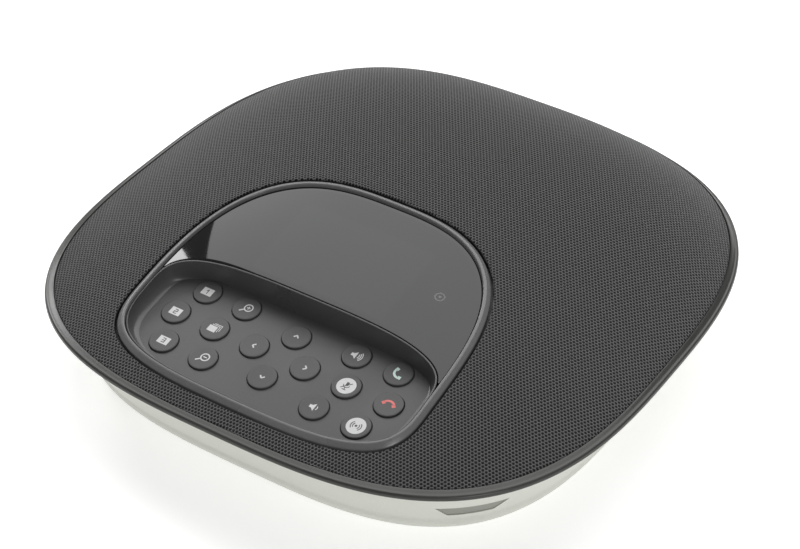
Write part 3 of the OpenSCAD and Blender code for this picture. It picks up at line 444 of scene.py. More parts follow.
finishes = {
    "shell": dict(low=(0.60, 0.61, 0.55), high=(0.66, 0.67, 0.61), rough=(0.42, 0.5), grain=0.35,
                  depth=0.006, dust=0.02),
    "rim": dict(low=(0.034, 0.034, 0.031), high=(0.044, 0.044, 0.040), rough=(0.30, 0.38),
                grain=0.25, depth=0.004, dust=0.03),
    "bezel": dict(low=(0.135, 0.135, 0.136), high=(0.165, 0.165, 0.165), rough=(0.24, 0.32),
                  grain=0.3, depth=0.003, dust=0.02),
    "console": dict(low=(0.056, 0.056, 0.056), high=(0.068, 0.068, 0.068), rough=(0.40, 0.48),
                    grain=0.28, depth=0.010, dust=0.10),
    # painted highlight: the cove is the console's own plastic, and this lighter grey copy of it
    # stands in for the highlight on the cove
    "cove": dict(low=(0.066, 0.066, 0.066), high=(0.080, 0.080, 0.080), rough=(0.27, 0.34),
                 grain=0.35, depth=0.016, dust=0.06),
    "keys": dict(low=(0.058, 0.058, 0.058), high=(0.072, 0.072, 0.072), rough=(0.46, 0.54),
                 grain=0.28, depth=0.008, dust=0.04),
    "window": dict(low=(0.20, 0.205, 0.175), high=(0.24, 0.245, 0.21), rough=(0.35, 0.45),
                   grain=0.3, depth=0.006),
    "black": dict(low=(0.012, 0.012, 0.013), high=(0.020, 0.020, 0.021), rough=(0.5, 0.6)),
    "cover": dict(low=(0.035, 0.035, 0.037), high=(0.052, 0.052, 0.054), rough=(0.55, 0.65),
                  grain=0.8, depth=0.04, dust=0.05),
    "rubber": dict(low=(0.018, 0.018, 0.018), high=(0.030, 0.030, 0.030), rough=(0.75, 0.85),
                   grain=0.5, depth=0.02),
    "foam": dict(low=(0.02, 0.02, 0.02), high=(0.05, 0.05, 0.05), rough=(0.85, 0.95), grain=0.6,
                 depth=0.15),
    "silicone": dict(low=(0.10, 0.10, 0.11), high=(0.13, 0.13, 0.14), rough=(0.5, 0.6)),
    "film": dict(low=(0.50, 0.24, 0.05), high=(0.58, 0.30, 0.08), rough=(0.2, 0.3)),
    "ferrite": dict(low=(0.025, 0.025, 0.028), high=(0.05, 0.05, 0.052), rough=(0.5, 0.7),
                    grain=0.5, depth=0.04),
    "pulp": dict(low=(0.018, 0.018, 0.018), high=(0.04, 0.04, 0.04), rough=(0.8, 0.9), grain=1.2,
                 depth=0.08),
    "sleeve": dict(low=(0.42, 0.035, 0.03), high=(0.5, 0.05, 0.04), rough=(0.4, 0.5)),
    "whitePrint": dict(low=(0.64, 0.64, 0.64), high=(0.72, 0.72, 0.72), rough=(0.5, 0.6)),
    "darkPrint": dict(low=(0.05, 0.05, 0.05), high=(0.08, 0.08, 0.08), rough=(0.5, 0.6)),
    "mintPrint": dict(low=(0.62, 0.80, 0.73), high=(0.72, 0.88, 0.81), rough=(0.5, 0.6)),
    "redPrint": dict(low=(0.76, 0.17, 0.16), high=(0.86, 0.21, 0.20), rough=(0.5, 0.6)),
    "faintPrint": dict(low=(0.10, 0.10, 0.10), high=(0.13, 0.13, 0.13), rough=(0.3, 0.4)),
}
materials = {name: mouldedPlastic(name, **look) for name, look in finishes.items()}
materials["steel"] = brushedMetal("steel", (0.42, 0.43, 0.44), (0.62, 0.63, 0.64))
materials["nickel"] = brushedMetal("nickel", (0.55, 0.54, 0.52), (0.72, 0.71, 0.68), (0.15, 0.3))
materials["gold"] = brushedMetal("gold", (0.75, 0.52, 0.18), (0.85, 0.62, 0.26), (0.15, 0.3))
materials["copper"] = brushedMetal("copper", (0.45, 0.20, 0.09), (0.6, 0.3, 0.15), (0.3, 0.4),
                                   (30, 30, 1))
materials["board"] = circuitBoard("board")
cloth = {
    "pitch": 1.34, "hole": 0.36, "soft": 0.06, "fuzz": 0.16, "sheen": 0.2, "rough": 0.6, "turn": -3,
    "strandLow": (0.078, 0.078, 0.078), "strandHigh": (0.138, 0.138, 0.138),
    # near-black hole colour: painted shade inside the cloth's openings
    "holeColor": (0.002, 0.002, 0.002), "depth": 0.35,
}
materials["cloth"] = wovenCloth("cloth", cloth)
materials["weave"] = wovenCloth("weave", dict(cloth, pitch=1.0, strandLow=(0.35, 0.22, 0.09),
                                              strandHigh=(0.5, 0.34, 0.15)))

lensLook = {
    "black": (0.0030, 0.0030, 0.0034), "screen": (0.0075, 0.0075, 0.0080), "rough": (0.03, 0.06),
    "left": -29.0, "right": 28.0, "front": -54.0, "back": -18.0,
}


def glossLens(name, look):
    # nearly black hard-coated face, a little lighter over the display's rectangle
    material, tree, shader, place = startMaterial(name, {"Specular IOR Level": 0.5})
    split = tree.nodes.new("ShaderNodeSeparateXYZ")
    join(tree, place, split.inputs[0])
    soft = 0.6 * mm
    sides = []
    for axis, low, high in ((0, "left", "right"), (1, "front", "back")):
        sides.append(rampNode(tree, split.outputs[axis], look[low] * mm - soft, look[low] * mm))
        sides.append(rampNode(tree, split.outputs[axis], look[high] * mm, look[high] * mm + soft,
                              1.0, 0.0))
    inside = sides[0]
    for side in sides[1:]:
        inside = mathNode(tree, "MULTIPLY", inside, side)
    specks = useGroup(tree, dustSpecks, place, {"Spacing": 5.0, "Speck": 0.10, "Share": 0.75})
    color = mixColors(tree, inside, look["black"], look["screen"])
    color = mixColors(tree, specks["Specks"], color, (0.10, 0.10, 0.10))
    join(tree, color, shader.inputs["Base Color"])
    marks = useGroup(tree, mouldedGrain, place, {"Grain Size": 4.0, "Smudge Size": 22.0})
    join(tree, rampNode(tree, marks["Smudge"], 0, 1, *look["rough"]), shader.inputs["Roughness"])
    bump(tree, shader, marks["Smudge"], 0.004)
    return material


materials["lens"] = glossLens("lens", lensLook)

nodeFinish = {
    "base_shell": "shell", "bottom_cover": "cover", "rubber_feet": "rubber", "case_screws": "steel",
    "rim_ring": "rim", "grille_frame": "black", "speaker_cloth": "cloth", "console_frame": "black",
    "console_bezel": "bezel", "lens_gasket": "foam", "display_lens": "lens",
    "display_module": "lens", "display_bracket": "steel", "keypad_surround": "console",
    "keypad_deck": "console", "keypad_membrane": "silicone", "dome_switches": "nickel",
    "keypad_board": "board", "keypad_retainer": "steel", "small_screws": "steel",
    "main_board": "board", "display_ribbon": "film", "keypad_ribbon": "film",
    "speaker_enclosure": "black", "speaker_gasket": "foam", "speaker_basket": "black",
    "speaker_top_plate": "nickel", "speaker_magnet": "ferrite", "speaker_yoke": "nickel",
    "voice_coil": "copper", "speaker_cone": "pulp", "dust_cap": "pulp",
    "speaker_surround": "rubber", "speaker_spider": "weave", "driver_screws": "steel",
    "speaker_lead": "sleeve", "mic_windows": "window", "microphones": "board",
    "connector_housing": "black", "hub_socket": "nickel", "jack_sockets": "nickel",
    "socket_board": "board", "bay_lining": "black",
}


def paint(piece, *names):
    piece.data.materials.clear()
    for name in names:
        piece.data.materials.append(materials[name])
    return piece


for name, piece in nodes.items():
    paint(piece, nodeFinish.get(name, "keys"))
print("materials made:", len(materials))

shell = {
    "windowTop": 26.4, "windowLow": 16.4, "windowHigh": 6.2, "windowDrop": 12.2, "recess": 1.2,
    "bayHalf": 31.2, "bayLow": 9.1, "bayHigh": 23.5, "coverHalf": 91.9, "coverLedge": 4,
    "coverStep": 1.4, "seam": 0.06, "seamRadius": 110, "bayStart": 0.28, "edgeBand": 0.25,
    "underWindow": 20.2,
    # groups of columns that lie in the windows, and in the bay
    "windowGroups": (2, 3, 8, 9, 13, 14, 18, 19), "bayGroup": 5,
}


def wallHalf(depth):
    # half size of the wall: a straight lean, then a quarter of a circle
    lean = body["rim"] - body["floor"] - body["corner"]
    top = body["half"] - body["inset"]
    low = top - body["taper"]
    arc = np.sqrt(np.maximum(0, body["corner"] ** 2 - np.maximum(depth - lean, 0) ** 2))
    return np.where(depth < lean, top - body["taper"] * depth / lean, low - body["corner"] + arc)


def wallPoint(depth, inset, angle):
    # point of the wall at a depth below the rim; its squareness changes evenly on the way down
    k = depth / (body["rim"] - body["floor"])
    h = wallHalf(depth) - inset
    front = body["powerFront"] + (body["powerBase"] - body["powerFront"]) * k
    back = body["powerBack"] + (body["powerBase"] - body["powerBack"]) * k
    x, y = oval(h, h, h, 0, front, back, angle)
    return x, y


def windowAngle(depth):
    # half the angle that a window takes at that depth
    s = shell
    v = np.clip((depth - s["windowDrop"]) / s["windowHigh"], 0, 1)
    x, y = wallPoint(depth, 0, np.full_like(depth, math.pi / 4))
    return np.arctan((s["windowTop"] + (s["windowLow"] - s["windowTop"]) * v) / 2 / np.hypot(x, y))


def bayAngle(depth):
    # angle from the back at which the wall is half a bay's width from the middle
    angle = np.full_like(depth, math.pi / 2 - shell["bayStart"])
    for _ in range(12):
        x, y = wallPoint(depth, 0, angle)
        angle += (x - shell["bayHalf"]) / np.maximum(y, 1)
    return math.pi / 2 - angle


def shellColumns(depth):
    # angles of the columns at each depth, whole knots at the windows' and the bay's sides
    w, b, e = windowAngle(depth), bayAngle(depth), shell["seam"] / shell["seamRadius"]
    q = math.pi / 4
    knots = [0 * w]
    counts = []
    for k in range(4):
        middle = q * (1 + 2 * k)
        knots += [middle - w - e, middle - w, middle + w, middle + w + e]
        knots += [2 * q - b, 2 * q + b] if k == 0 else [0 * w + 2 * q * (k + 1)]
        counts += [14 if k == 1 else 20, 1, 12, 1] + ([14, 24] if k == 0 else [20])
    knots = np.stack(knots, -1)
    columns = np.concatenate([
        knots[:, i, None] + (knots[:, i + 1] - knots[:, i])[:, None] * np.arange(n) / n
        for i, n in enumerate(counts)], 1)
    return columns, np.repeat(np.arange(len(counts)), counts)


def buildShell():
    s = shell
    depthAll = body["rim"] - body["floor"]
    lean = depthAll - body["corner"]
    top, low = s["windowDrop"], s["windowDrop"] + s["windowHigh"]
    bayTop, bayFoot = body["rim"] - s["bayHigh"], body["rim"] - s["bayLow"]
    e = s["seam"]
    depths = np.unique(np.concatenate([
        [0, s["edgeBand"]], np.linspace(1, bayTop, 7), [top - e], np.linspace(top, low, 8),
        [low + e, s["underWindow"]], [lean], [bayFoot],
        lean + body["corner"] * np.sin(np.linspace(0, math.pi / 2, 14)),
    ]).round(5))
    columns, marks = shellColumns(depths)
    grid = depths[:, None] + 0 * columns
    inWindow = np.isin(marks, s["windowGroups"])[None, :]
    inset = np.where(inWindow & (grid > top - e / 2) & (grid < low + e / 2), s["recess"], 0.0)
    x, y = wallPoint(grid, inset, columns)
    outer = np.stack([x, y, body["rim"] - grid], -1)
    x, y = wallPoint(grid, body["wall"], columns)
    innerFloor = body["floor"] + body["wall"]
    inner = np.stack([x, y, np.maximum(innerFloor, body["rim"] - grid)], -1)

    def flatLoop(half, z):
        outline = oval(half, half, half, 0, body["powerBase"], body["powerBase"], columns[-1])
        return level(outline, z)[None]

    openLow = s["coverHalf"] + fitGap
    openHigh = openLow - s["coverLedge"]
    step = body["floor"] + s["coverStep"]
    lip = [flatLoop(openLow, body["floor"]), flatLoop(openLow, step), flatLoop(openHigh, step),
           flatLoop(openHigh, innerFloor)]
    loops = np.concatenate([outer, *lip, inner[::-1]])[::-1]
    rows, count = loops.shape[:2]
    quads = gridQuads(rows, count, True, True)
    # the bay is left open in both walls, and the two openings are joined all round
    inBay = np.nonzero(marks == s["bayGroup"])[0]
    j0, j1 = inBay[0], inBay[-1] + 1
    tall = len(depths)
    r0, r1 = np.searchsorted(depths, [bayTop - 1e-6, bayFoot - 1e-6])
    outerRow = rows - 1 - np.arange(tall)
    innerRow = np.arange(tall)
    keep = np.ones(quads.shape[:2], bool)
    keep[outerRow[r1]:outerRow[r0], j0:j1] = False
    keep[innerRow[r0]:innerRow[r1], j0:j1] = False
    index = np.arange(rows * count).reshape(rows, count)
    near = np.arange(r0, r1)
    across = np.arange(j0, j1)
    right = [index[outerRow[near], j0], index[outerRow[near + 1], j0],
             index[innerRow[near + 1], j0], index[innerRow[near], j0]]
    left = [index[outerRow[near], j1], index[innerRow[near], j1],
            index[innerRow[near + 1], j1], index[outerRow[near + 1], j1]]
    above = [index[outerRow[r0], across], index[innerRow[r0], across],
             index[innerRow[r0], across + 1], index[outerRow[r0], across + 1]]
    below = [index[outerRow[r1], across], index[outerRow[r1], across + 1],
             index[innerRow[r1], across + 1], index[innerRow[r1], across]]
    jambs = [np.stack(side, -1) for side in (right, left, above, below)]
    allQuads = np.concatenate([quads[keep], *jambs])
    return paint(addPiece("baseShell", loops, allQuads, "root", ["base_shell"], 35),
                 "shell")


baseShell = buildShell()
print("base shell built")

rim = {
    "land": 3.4, "ledge": 3.0,
    # distance in from the widest line and height above the rim plane
    "outside": [(0.55, 0.0), (0.18, 0.12), (0.0, 0.45), (0.06, 1.05), (0.22, 1.5), (0.52, 1.82),
                (0.95, 1.98), (1.35, 2.02)],
    # distance out from the cloth's edge and height above the dome
    "inside": [(0.35, 0.42), (0.1, 0.34), (0.0, 0.1)],
    "ledgeDrop": 2.75, "ledgeLow": 0.65,
}
across = np.linspace(0, turn, 288, endpoint=False)
outside = roundedProfile(rim["outside"], 4)
innerHalf = body["half"] - rim["land"] + fitGap
loops = [level(planOutline(body["half"] - d, across), body["rim"] + z) for d, z in outside]
inside = [lift(planOutline(innerHalf + d, across), z) for d, z in rim["inside"]]
landEdge, start = inside[0], loops[-1]
loops += [start + (landEdge - start) * k for k in (0.33, 0.66, 1)]
loops += inside[1:]
ledgeHalf = innerHalf - rim["ledge"]
low = [np.maximum(lift(planOutline(h, across), -rim["ledgeDrop"]), body["rim"] + rim["ledgeLow"])
       for h in (innerHalf, ledgeHalf)]
for loop, h in zip(low, (innerHalf, ledgeHalf)):
    flat = level(planOutline(h, across), 0)
    loop[..., :2] = flat[..., :2]
loops += low + [level(planOutline(ledgeHalf, across), body["rim"])]
rimRing = paint(ringPiece("rimRing", loops, ["rim_ring"]), "rim")
print("rim built")

clothShape = {"thick": 0.6, "rows": 56, "fold": 0.55, "tuck": 2.0, "columns": 288, "area": 0.0375}
t = np.linspace(0, turn, clothShape["columns"], endpoint=False)
inner = np.stack(consoleOutline(console["clothGap"], t), -1)
outer = np.stack(planOutline(body["half"] - rim["land"], t), -1)
reach = np.linalg.norm(outer - inner, axis=-1)


def clothLoop(share, drop):
    # share of the way from the console's gap to the rim, and how far below the dome
    p = inner + (outer - inner) * share[..., None]
    return np.stack([p[..., 0], p[..., 1], domeHeight(p[..., 0], p[..., 1]) - drop], -1)


fold = clothShape["fold"]
bend = np.linspace(0, math.pi / 2, 5)
tuckIn = [clothLoop(fold * (1 - np.cos(a)) / reach, fold * (1 - np.sin(a))) for a in bend]
middle = [clothLoop(fold / reach + (1 - 2 * fold / reach) * k, 0.0)
          for k in np.linspace(0, 1, clothShape["rows"])[1:-1]]
tuckOut = [clothLoop(1 - fold * (1 - np.cos(a)) / reach, fold * (1 - np.sin(a)))
           for a in bend[::-1]]
thick = clothShape["thick"]
under = [clothLoop(np.full_like(reach, k), thick) for k in np.linspace(1, 0, 14)[1:-1]]
tail = [clothLoop(1.2 / reach, thick), clothLoop(thick / reach, thick + 0.5),
        clothLoop(thick / reach, clothShape["tuck"]), clothLoop(0 * reach, clothShape["tuck"])]
loops = (tuckIn + middle + tuckOut + [clothLoop(0 * reach + 1, thick)] + under + tail)[::-1]
speakerCloth = paint(ringPiece("speakerCloth", loops, ["speaker_cloth"]), "cloth")
print("speaker cloth built")

bezel = {
    # distance in from the console's outline and height above the dome
    "profile": [(0.0, -2.6), (0.0, -0.75), (0.1, -0.35), (0.6, 0.1), (1.15, 0.52), (1.45, 0.68),
                (1.9, 0.7), (2.3, 0.6), (2.52, 0.3), (2.62, -0.2), (2.7, -0.9), (2.7, -2.6)],
}
profile = roundedProfile(bezel["profile"], 4)
t = np.linspace(0, turn, 288, endpoint=False)
consoleBezel = paint(ringPiece("consoleBezel", [lift(consoleOutline(-d, t), z) for d, z in profile],
                               ["console_bezel"]), "bezel")

lens = {"thick": 1.7, "round": 0.3, "columns": 160, "rows": 26, "side": 11.0}


def cutAngles(outline, rise, count):
    # angles along the back of an outline, from left to right, where y is over the cut
    fine = np.linspace(math.pi, 0, 4001)
    x, y = outline(fine)
    kept = fine[y >= console["middle"] + rise - 1e-9]
    length = np.concatenate([[0], np.cumsum(np.hypot(*np.diff(np.stack(outline(kept)), axis=1)))])
    return np.interp(np.linspace(0, length[-1], count), length, kept)


def buildLens():
    # rows go evenly from the well's edge to the bezel's, rounded at both
    def nearEdge(angle):
        return wellOutline(fitGap, angle)

    def farEdge(angle):
        return consoleOutline(-console["bezel"] - fitGap, angle)

    a = np.stack(nearEdge(cutAngles(nearEdge, lens["side"], lens["columns"])), -1)
    b = np.stack(farEdge(cutAngles(farEdge, lens["side"], lens["columns"])), -1)
    gap = np.maximum(np.linalg.norm(b - a, axis=-1), 0.6)
    r = np.minimum(lens["round"], gap * 0.3)
    arc = np.linspace(0, math.pi / 2, 5)
    shares = [r * (1 - np.cos(k)) / gap for k in arc]
    drops = [r * (1 - np.sin(k)) for k in arc]
    shares += [r / gap + (1 - 2 * r / gap) * k for k in np.linspace(0, 1, lens["rows"])[1:-1]]
    drops += [0 * r] * (lens["rows"] - 2)
    shares += [1 - r * (1 - np.cos(k)) / gap for k in arc[::-1]]
    drops += [r * (1 - np.sin(k)) for k in arc[::-1]]
    share, drop = np.stack(shares), np.stack(drops)
    plan = a[None] + (b - a)[None] * share[..., None]
    height = domeHeight(plan[..., 0], plan[..., 1]) - console["lensDrop"]
    top = np.dstack([plan, height - drop])
    low = np.dstack([plan, height - lens["thick"]])
    points, quads = sheetShape(top, low)
    return addPiece("displayLens", points, quads, "root", ["display_lens"], 50)


displayLens = paint(buildLens(), "lens")

cove = {"steps": 14, "columns": 288, "lipDrop": 0.15, "lipRound": 0.12, "wallDrop": 0.04}


def buildSurround():
    # the wall falls from the top edge to the deck along a quarter of an ellipse
    t = np.linspace(0, turn, cove["columns"], endpoint=False)
    edge = lift(wellOutline(-well["edge"], t), -console["lensDrop"])
    x, y = footOutline(t)
    toe = np.stack([x, y, onDeck(y) + well["toe"]], -1)
    k = np.linspace(0, math.pi / 2, cove["steps"])[:, None]
    side, fall = (1 - np.cos(k))[..., None], np.sin(k)[..., None]
    plan = edge[None, :, :2] + (toe - edge)[None, :, :2] * side
    height = edge[None, :, 2:] + (toe - edge)[None, :, 2:] * fall
    wall = np.concatenate([plan, height], -1)
    x, y = wellOutline(0, t)
    outside = np.stack([x, y, onDeck(y)], -1)
    rimTop = [lift(wellOutline(0, t), -console["lensDrop"] - cove["lipDrop"]),
              lift(wellOutline(-cove["lipRound"], t), -console["lensDrop"]),
              lift(wellOutline(-well["edge"] + cove["lipDrop"], t), -console["lensDrop"])]
    foot = toe.copy()
    foot[:, 2] -= well["toe"]
    shoulder = toe.copy()
    shoulder[:, 2] -= well["toe"] / 2
    wall[..., 2] -= cove["wallDrop"]
    return ringPiece("keypadSurround", [outside, *rimTop, *wall, shoulder, foot],
                     ["keypad_surround"])


# the surround gets the cove finish, a lighter grey than the console's plastic: painted highlight
keypadSurround = paint(buildSurround(), "cove")
print("console built")

keyCap = {
    "radius": 5.5, "proud": 0.75, "round": 0.4, "dish": 0.05, "sides": 72,
    "under": [(1.6, -4.3), (1.6, -3.3), (6.2, -3.3), (6.2, -2.1), (5.5, -2.1)],
    "rows": 13.6, "pitch": 17.9, "firstMiddle": 11.2, "firstOuter": 24.4, "arrows": 10.8,
}
middleRow = [keyCap["firstMiddle"] + keyCap["pitch"] * k for k in range(3)]
outerRow = [keyCap["firstOuter"] + keyCap["pitch"] * k for k in range(2)]
keyPlaces = {
    "preset_1": (-outerRow[1], 1), "zoom_in": (-outerRow[0], 1), "volume_up": (outerRow[0], 1),
    "answer": (outerRow[1], 1), "preset_2": (-middleRow[2], 0), "layout": (-middleRow[1], 0),
    "left": (-middleRow[0], 0), "right": (middleRow[0], 0), "mute": (middleRow[1], 0),
    "hang_up": (middleRow[2], 0), "preset_3": (-outerRow[1], -1), "zoom_out": (-outerRow[0], -1),
    "volume_down": (outerRow[0], -1), "pairing": (outerRow[1], -1),
    "up": (0, keyCap["arrows"] / keyCap["rows"]), "down": (0, -keyCap["arrows"] / keyCap["rows"]),
}


def ontoDeck(points, column, row):
    # flat key coordinates, turned about the deck's line through the middle row
    c, s = math.cos(deck["tilt"]), math.sin(deck["tilt"])
    x = points[..., 0] + column
    along = points[..., 1] + row * keyCap["rows"]
    y = console["middle"] + along * c - points[..., 2] * s
    z = deckHeight + along * s + points[..., 2] * c
    return np.stack([x, y, z], -1)


def keyProfile():
    # foot, flange, wall, rounded edge and a slightly dished face
    k = keyCap
    arc = np.linspace(0, math.pi / 2, 6)
    edge = np.stack([k["radius"] - k["round"] + k["round"] * np.cos(arc),
                     k["proud"] - k["round"] + k["round"] * np.sin(arc)], -1)
    r = np.linspace(k["radius"] - k["round"], 0.02, 9)[1:]
    face = np.stack([r, k["proud"] - k["dish"] * (1 - (r / (k["radius"] - k["round"])) ** 2)], -1)
    return np.vstack([[(0.02, -4.3)], k["under"], edge, face])


capGrid = lathe(keyProfile(), keyCap["sides"])
capQuads = gridQuads(*capGrid.shape[:2], False, True).reshape(-1, 4)
capLast = capGrid.shape[0] - 1
sides = keyCap["sides"]


def poleFan(row, flip):
    # closes the pinhole left at a pole with a fan of four-cornered faces round a middle point
    base = row * sides
    ring = base + np.arange(sides)
    middlePoint = capGrid.shape[0] * sides + (0 if row == 0 else 1)
    fan = np.stack([ring[::2], ring[1::2], np.roll(ring, -2)[::2],
                    np.full(sides // 2, middlePoint)], -1)
    return fan[:, ::-1] if flip else fan


capPoints = np.vstack([capGrid.reshape(-1, 3),
                       [(0, 0, keyProfile()[0, 1])], [(0, 0, keyProfile()[-1, 1])]])
capFaces = np.concatenate([capQuads, poleFan(0, True), poleFan(capLast, False)])
for name, (column, row) in keyPlaces.items():
    cap = addPiece("keyCap_" + name, ontoDeck(capPoints, column, row), capFaces,
                   "key_" + name, ["key_" + name], 35)
    paint(cap, "keys")

symbol = {"lift": 0.03, "bar": 0.5, "disc": 3.65}
symbolZ = keyCap["proud"] - keyCap["dish"]


def bar(x0, y0, x1, y1, width=None):
    # two edges of a straight stroke
    a, b = np.array([x0, y0], float), np.array([x1, y1], float)
    side = np.array([a[1] - b[1], b[0] - a[0]]) / np.linalg.norm(b - a)
    side *= (width or symbol["bar"]) / 2
    return np.stack([a + side, b + side]), np.stack([a - side, b - side])


def arcBand(x, y, low, high, start=0.0, end=360.0):
    # part of a ring between two radii, angles in degrees
    a = np.radians(np.linspace(start, end, max(6, int(abs(end - start) / 9) + 1)))
    unit = np.stack([np.cos(a), np.sin(a)], -1)
    return unit * high + (x, y), unit * low + (x, y)


def patch(*corners):
    # four corners, the two of the left edge first
    p = np.array(corners, float)
    return p[[0, 1]], p[[3, 2]]


def handset(angle):
    # an arc with a wide pad at each end, open towards the angle
    strokes = [arcBand(0.9, 0, 1.95, 2.85, 118, 242)]
    for s in (-1, 1):
        strokes.append(bar(-0.5, 1.7 * s, 0.5, 2.45 * s, 1.4))
    c, s = math.cos(math.radians(angle)), math.sin(math.radians(angle))
    turned = np.array([[c, s], [-s, c]])
    return [(a @ turned, b @ turned) for a, b in strokes]


def digit(n):
    # strokes of a figure 1, 2 or 3
    w, h = 0.55, 0.95
    lines = {
        1: [(0.1, -h, 0.1, h), (0.15, h - 0.1, -0.4, h - 0.5)],
        2: [(-w, h, w, h), (w, h, w, 0), (w, 0, -w, 0), (-w, 0, -w, -h), (-w, -h, w, -h)],
        3: [(-w, h, w, h), (w, h, w, -h), (-w, 0, w, 0), (-w, -h, w, -h)],
    }[n]
    strokes = []
    for x0, y0, x1, y1 in lines:
        length = math.hypot(x1 - x0, y1 - y0)
        ex, ey = (x1 - x0) / length * 0.16, (y1 - y0) / length * 0.16
        strokes.append(bar(x0 - ex, y0 - ey, x1 + ex, y1 + ey, 0.34))
    return strokes


def loudspeaker(x):
    return [patch((x - 1.9, -0.65), (x - 1.9, 0.65), (x - 0.9, 0.65), (x - 0.9, -0.65)),
            patch((x - 0.9, -0.65), (x - 0.9, 0.65), (x + 0.3, 1.7), (x + 0.3, -1.7))]


def chevron(dx, dy):
    # two strokes that meet at a point in the direction dx, dy
    tip = np.array([dx, dy]) * 0.55
    a = tip - np.array([dx, dy]) * 0.95 + np.array([-dy, dx]) * 0.95
    b = tip - np.array([dx, dy]) * 0.95 - np.array([-dy, dx]) * 0.95
    over = np.array([dx, dy]) * 0.17
    return [bar(*a, *(tip + over), 0.56), bar(*b, *(tip + over), 0.56)]


def magnifier(extra):
    x, y = 0.65, 0.5
    handle = bar(x - 1.15, y - 1.15, x - 2.75, y - 2.5, 0.55)
    return [arcBand(x, y, 1.35, 1.85), handle] + [bar(x + a, y + b, x + c, y + d, 0.42)
                                                   for a, b, c, d in extra]


plus = [(-0.75, 0, 0.75, 0), (0, -0.75, 0, 0.75)]
box = patch((-2.3, -1.75), (-2.3, 1.75), (2.3, 1.75), (2.3, -1.75))
whiteDisc = arcBand(0, 0, 0.01, symbol["disc"])
crossedMic = [bar(0, 0.15, 0, 1.75, 1.05), arcBand(0, 0.35, 1.05, 1.35, 180, 360),
              bar(0, -0.9, 0, -1.75, 0.32), bar(-0.8, -1.8, 0.8, -1.8, 0.32),
              bar(-1.6, -1.45, 1.6, 1.75, 0.36)]
radioWaves = [arcBand(0, 0, 0.01, 0.5)]
for low, high in ((1.05, 1.4), (1.85, 2.2)):
    radioWaves += [arcBand(0, 0, low, high, -48, 48), arcBand(0, 0, low, high, 132, 228)]
symbols = {
    "preset_1": ("whitePrint", [box], digit(1)), "preset_2": ("whitePrint", [box], digit(2)),
    "preset_3": ("whitePrint", [box], digit(3)),
    "zoom_in": ("whitePrint", magnifier(plus), []),
    "zoom_out": ("whitePrint", magnifier(plus[:1]), []),
    "layout": ("whitePrint", [
        patch((-2.5, -1.9), (-2.5, 0.9), (1.0, 0.9), (1.0, -1.9)),
        bar(-1.8, 1.4, 1.72, 1.4, 0.28), bar(1.58, 1.5, 1.58, -1.3, 0.28),
        bar(-1.1, 2.0, 2.42, 2.0, 0.28), bar(2.28, 2.1, 2.28, -0.7, 0.28)], []),
    "left": ("whitePrint", chevron(-1, 0), []), "right": ("whitePrint", chevron(1, 0), []),
    "up": ("whitePrint", chevron(0, 1), []), "down": ("whitePrint", chevron(0, -1), []),
    "volume_up": ("whitePrint", loudspeaker(-0.3) + [
        arcBand(0, 0, 0.85, 1.2, -50, 50), arcBand(0, 0, 1.55, 1.9, -50, 50),
        arcBand(0, 0, 2.25, 2.6, -50, 50)], []),
    "volume_down": ("whitePrint", loudspeaker(0.1) + [arcBand(0.4, 0, 0.85, 1.2, -50, 50)], []),
    "mute": ("whitePrint", [whiteDisc], crossedMic),
    "pairing": ("whitePrint", [whiteDisc], radioWaves),
    "answer": ("mintPrint", handset(38), []), "hang_up": ("redPrint", handset(-90), []),
}


def printShape(strokes, low, high):
    # thin raised prints, each stroke a strip between its two edges
    points, quads, start = [], [], 0
    for a, b in strokes:
        up = np.stack([np.c_[a, np.full(len(a), high)], np.c_[b, np.full(len(b), high)]])
        down = up.copy()
        down[..., 2] = low
        p, q = sheetShape(up, down)
        edge = up[0, 1] - up[0, 0]
        side = up[1, 0] - up[0, 0]
        if edge[0] * side[1] - edge[1] * side[0] < 0:
            q = q[:, ::-1]
        points.append(p)
        quads.append(q + start)
        start += len(p)
    return np.concatenate(points), np.concatenate(quads)


for name, (finish, light, dark) in symbols.items():
    column, row = keyPlaces[name]
    z = symbolZ
    for label, strokes, top, look in (("symbol_", light, z + symbol["lift"], finish),
                                      ("figure_", dark, z + 1.6 * symbol["lift"], "darkPrint")):
        if strokes:
            points, quads = printShape(strokes, z - 0.1, top)
            mark = addPiece(label + name, ontoDeck(points, column, row), quads,
                            "key_" + name, (), 30)
            paint(mark, look)
print("keys built:", len(keyPlaces))

lensMark = {"x": 40.4, "y": -34.6, "low": -0.1, "high": 0.02, "ring": (1.5, 2.0), "dot": 0.6}


def buildLensMark():
    # a ring with a dot in it, carried up to the lens face
    m = lensMark
    points, quads = printShape([arcBand(m["x"], m["y"], *m["ring"]),
                                arcBand(m["x"], m["y"], 0.01, m["dot"])], m["low"], m["high"])
    points[:, 2] += domeHeight(points[:, 0], points[:, 1]) - console["lensDrop"]
    return addPiece("lensMark", points, quads, "root", (), 30)


paint(buildLensMark(), "faintPrint")

micWindow = {"columns": 16, "rows": 10, "sunk": 0.25, "back": 1.1}


def buildWindows():
    # u runs across a window and v down it; the wall's own curve at that depth, sunk a little
    s, m = shell, micWindow
    u = np.linspace(-1, 1, m["columns"])[None, :]
    v = np.linspace(0, 1, m["rows"])[:, None]
    depth = s["windowDrop"] + 0.1 + (s["windowHigh"] - 0.2) * v + 0 * u
    points, quads, start = [], [], 0
    for k in range(4):
        angle = math.pi / 4 + k * math.pi / 2 + (windowAngle(depth) - 0.0008) * u
        faces = []
        for inset in (m["sunk"], m["back"]):
            x, y = wallPoint(depth, inset, angle)
            faces.append(np.stack([x, y, body["rim"] - depth], -1))
        p, q = sheetShape(*faces)
        points.append(p)
        quads.append(q[:, ::-1] + start)
        start += len(p)
    return addPiece("micWindows", np.concatenate(points), np.concatenate(quads),
                    "root", ["mic_windows"], 35)


micWindows = paint(buildWindows(), "window")
print("microphone windows built")

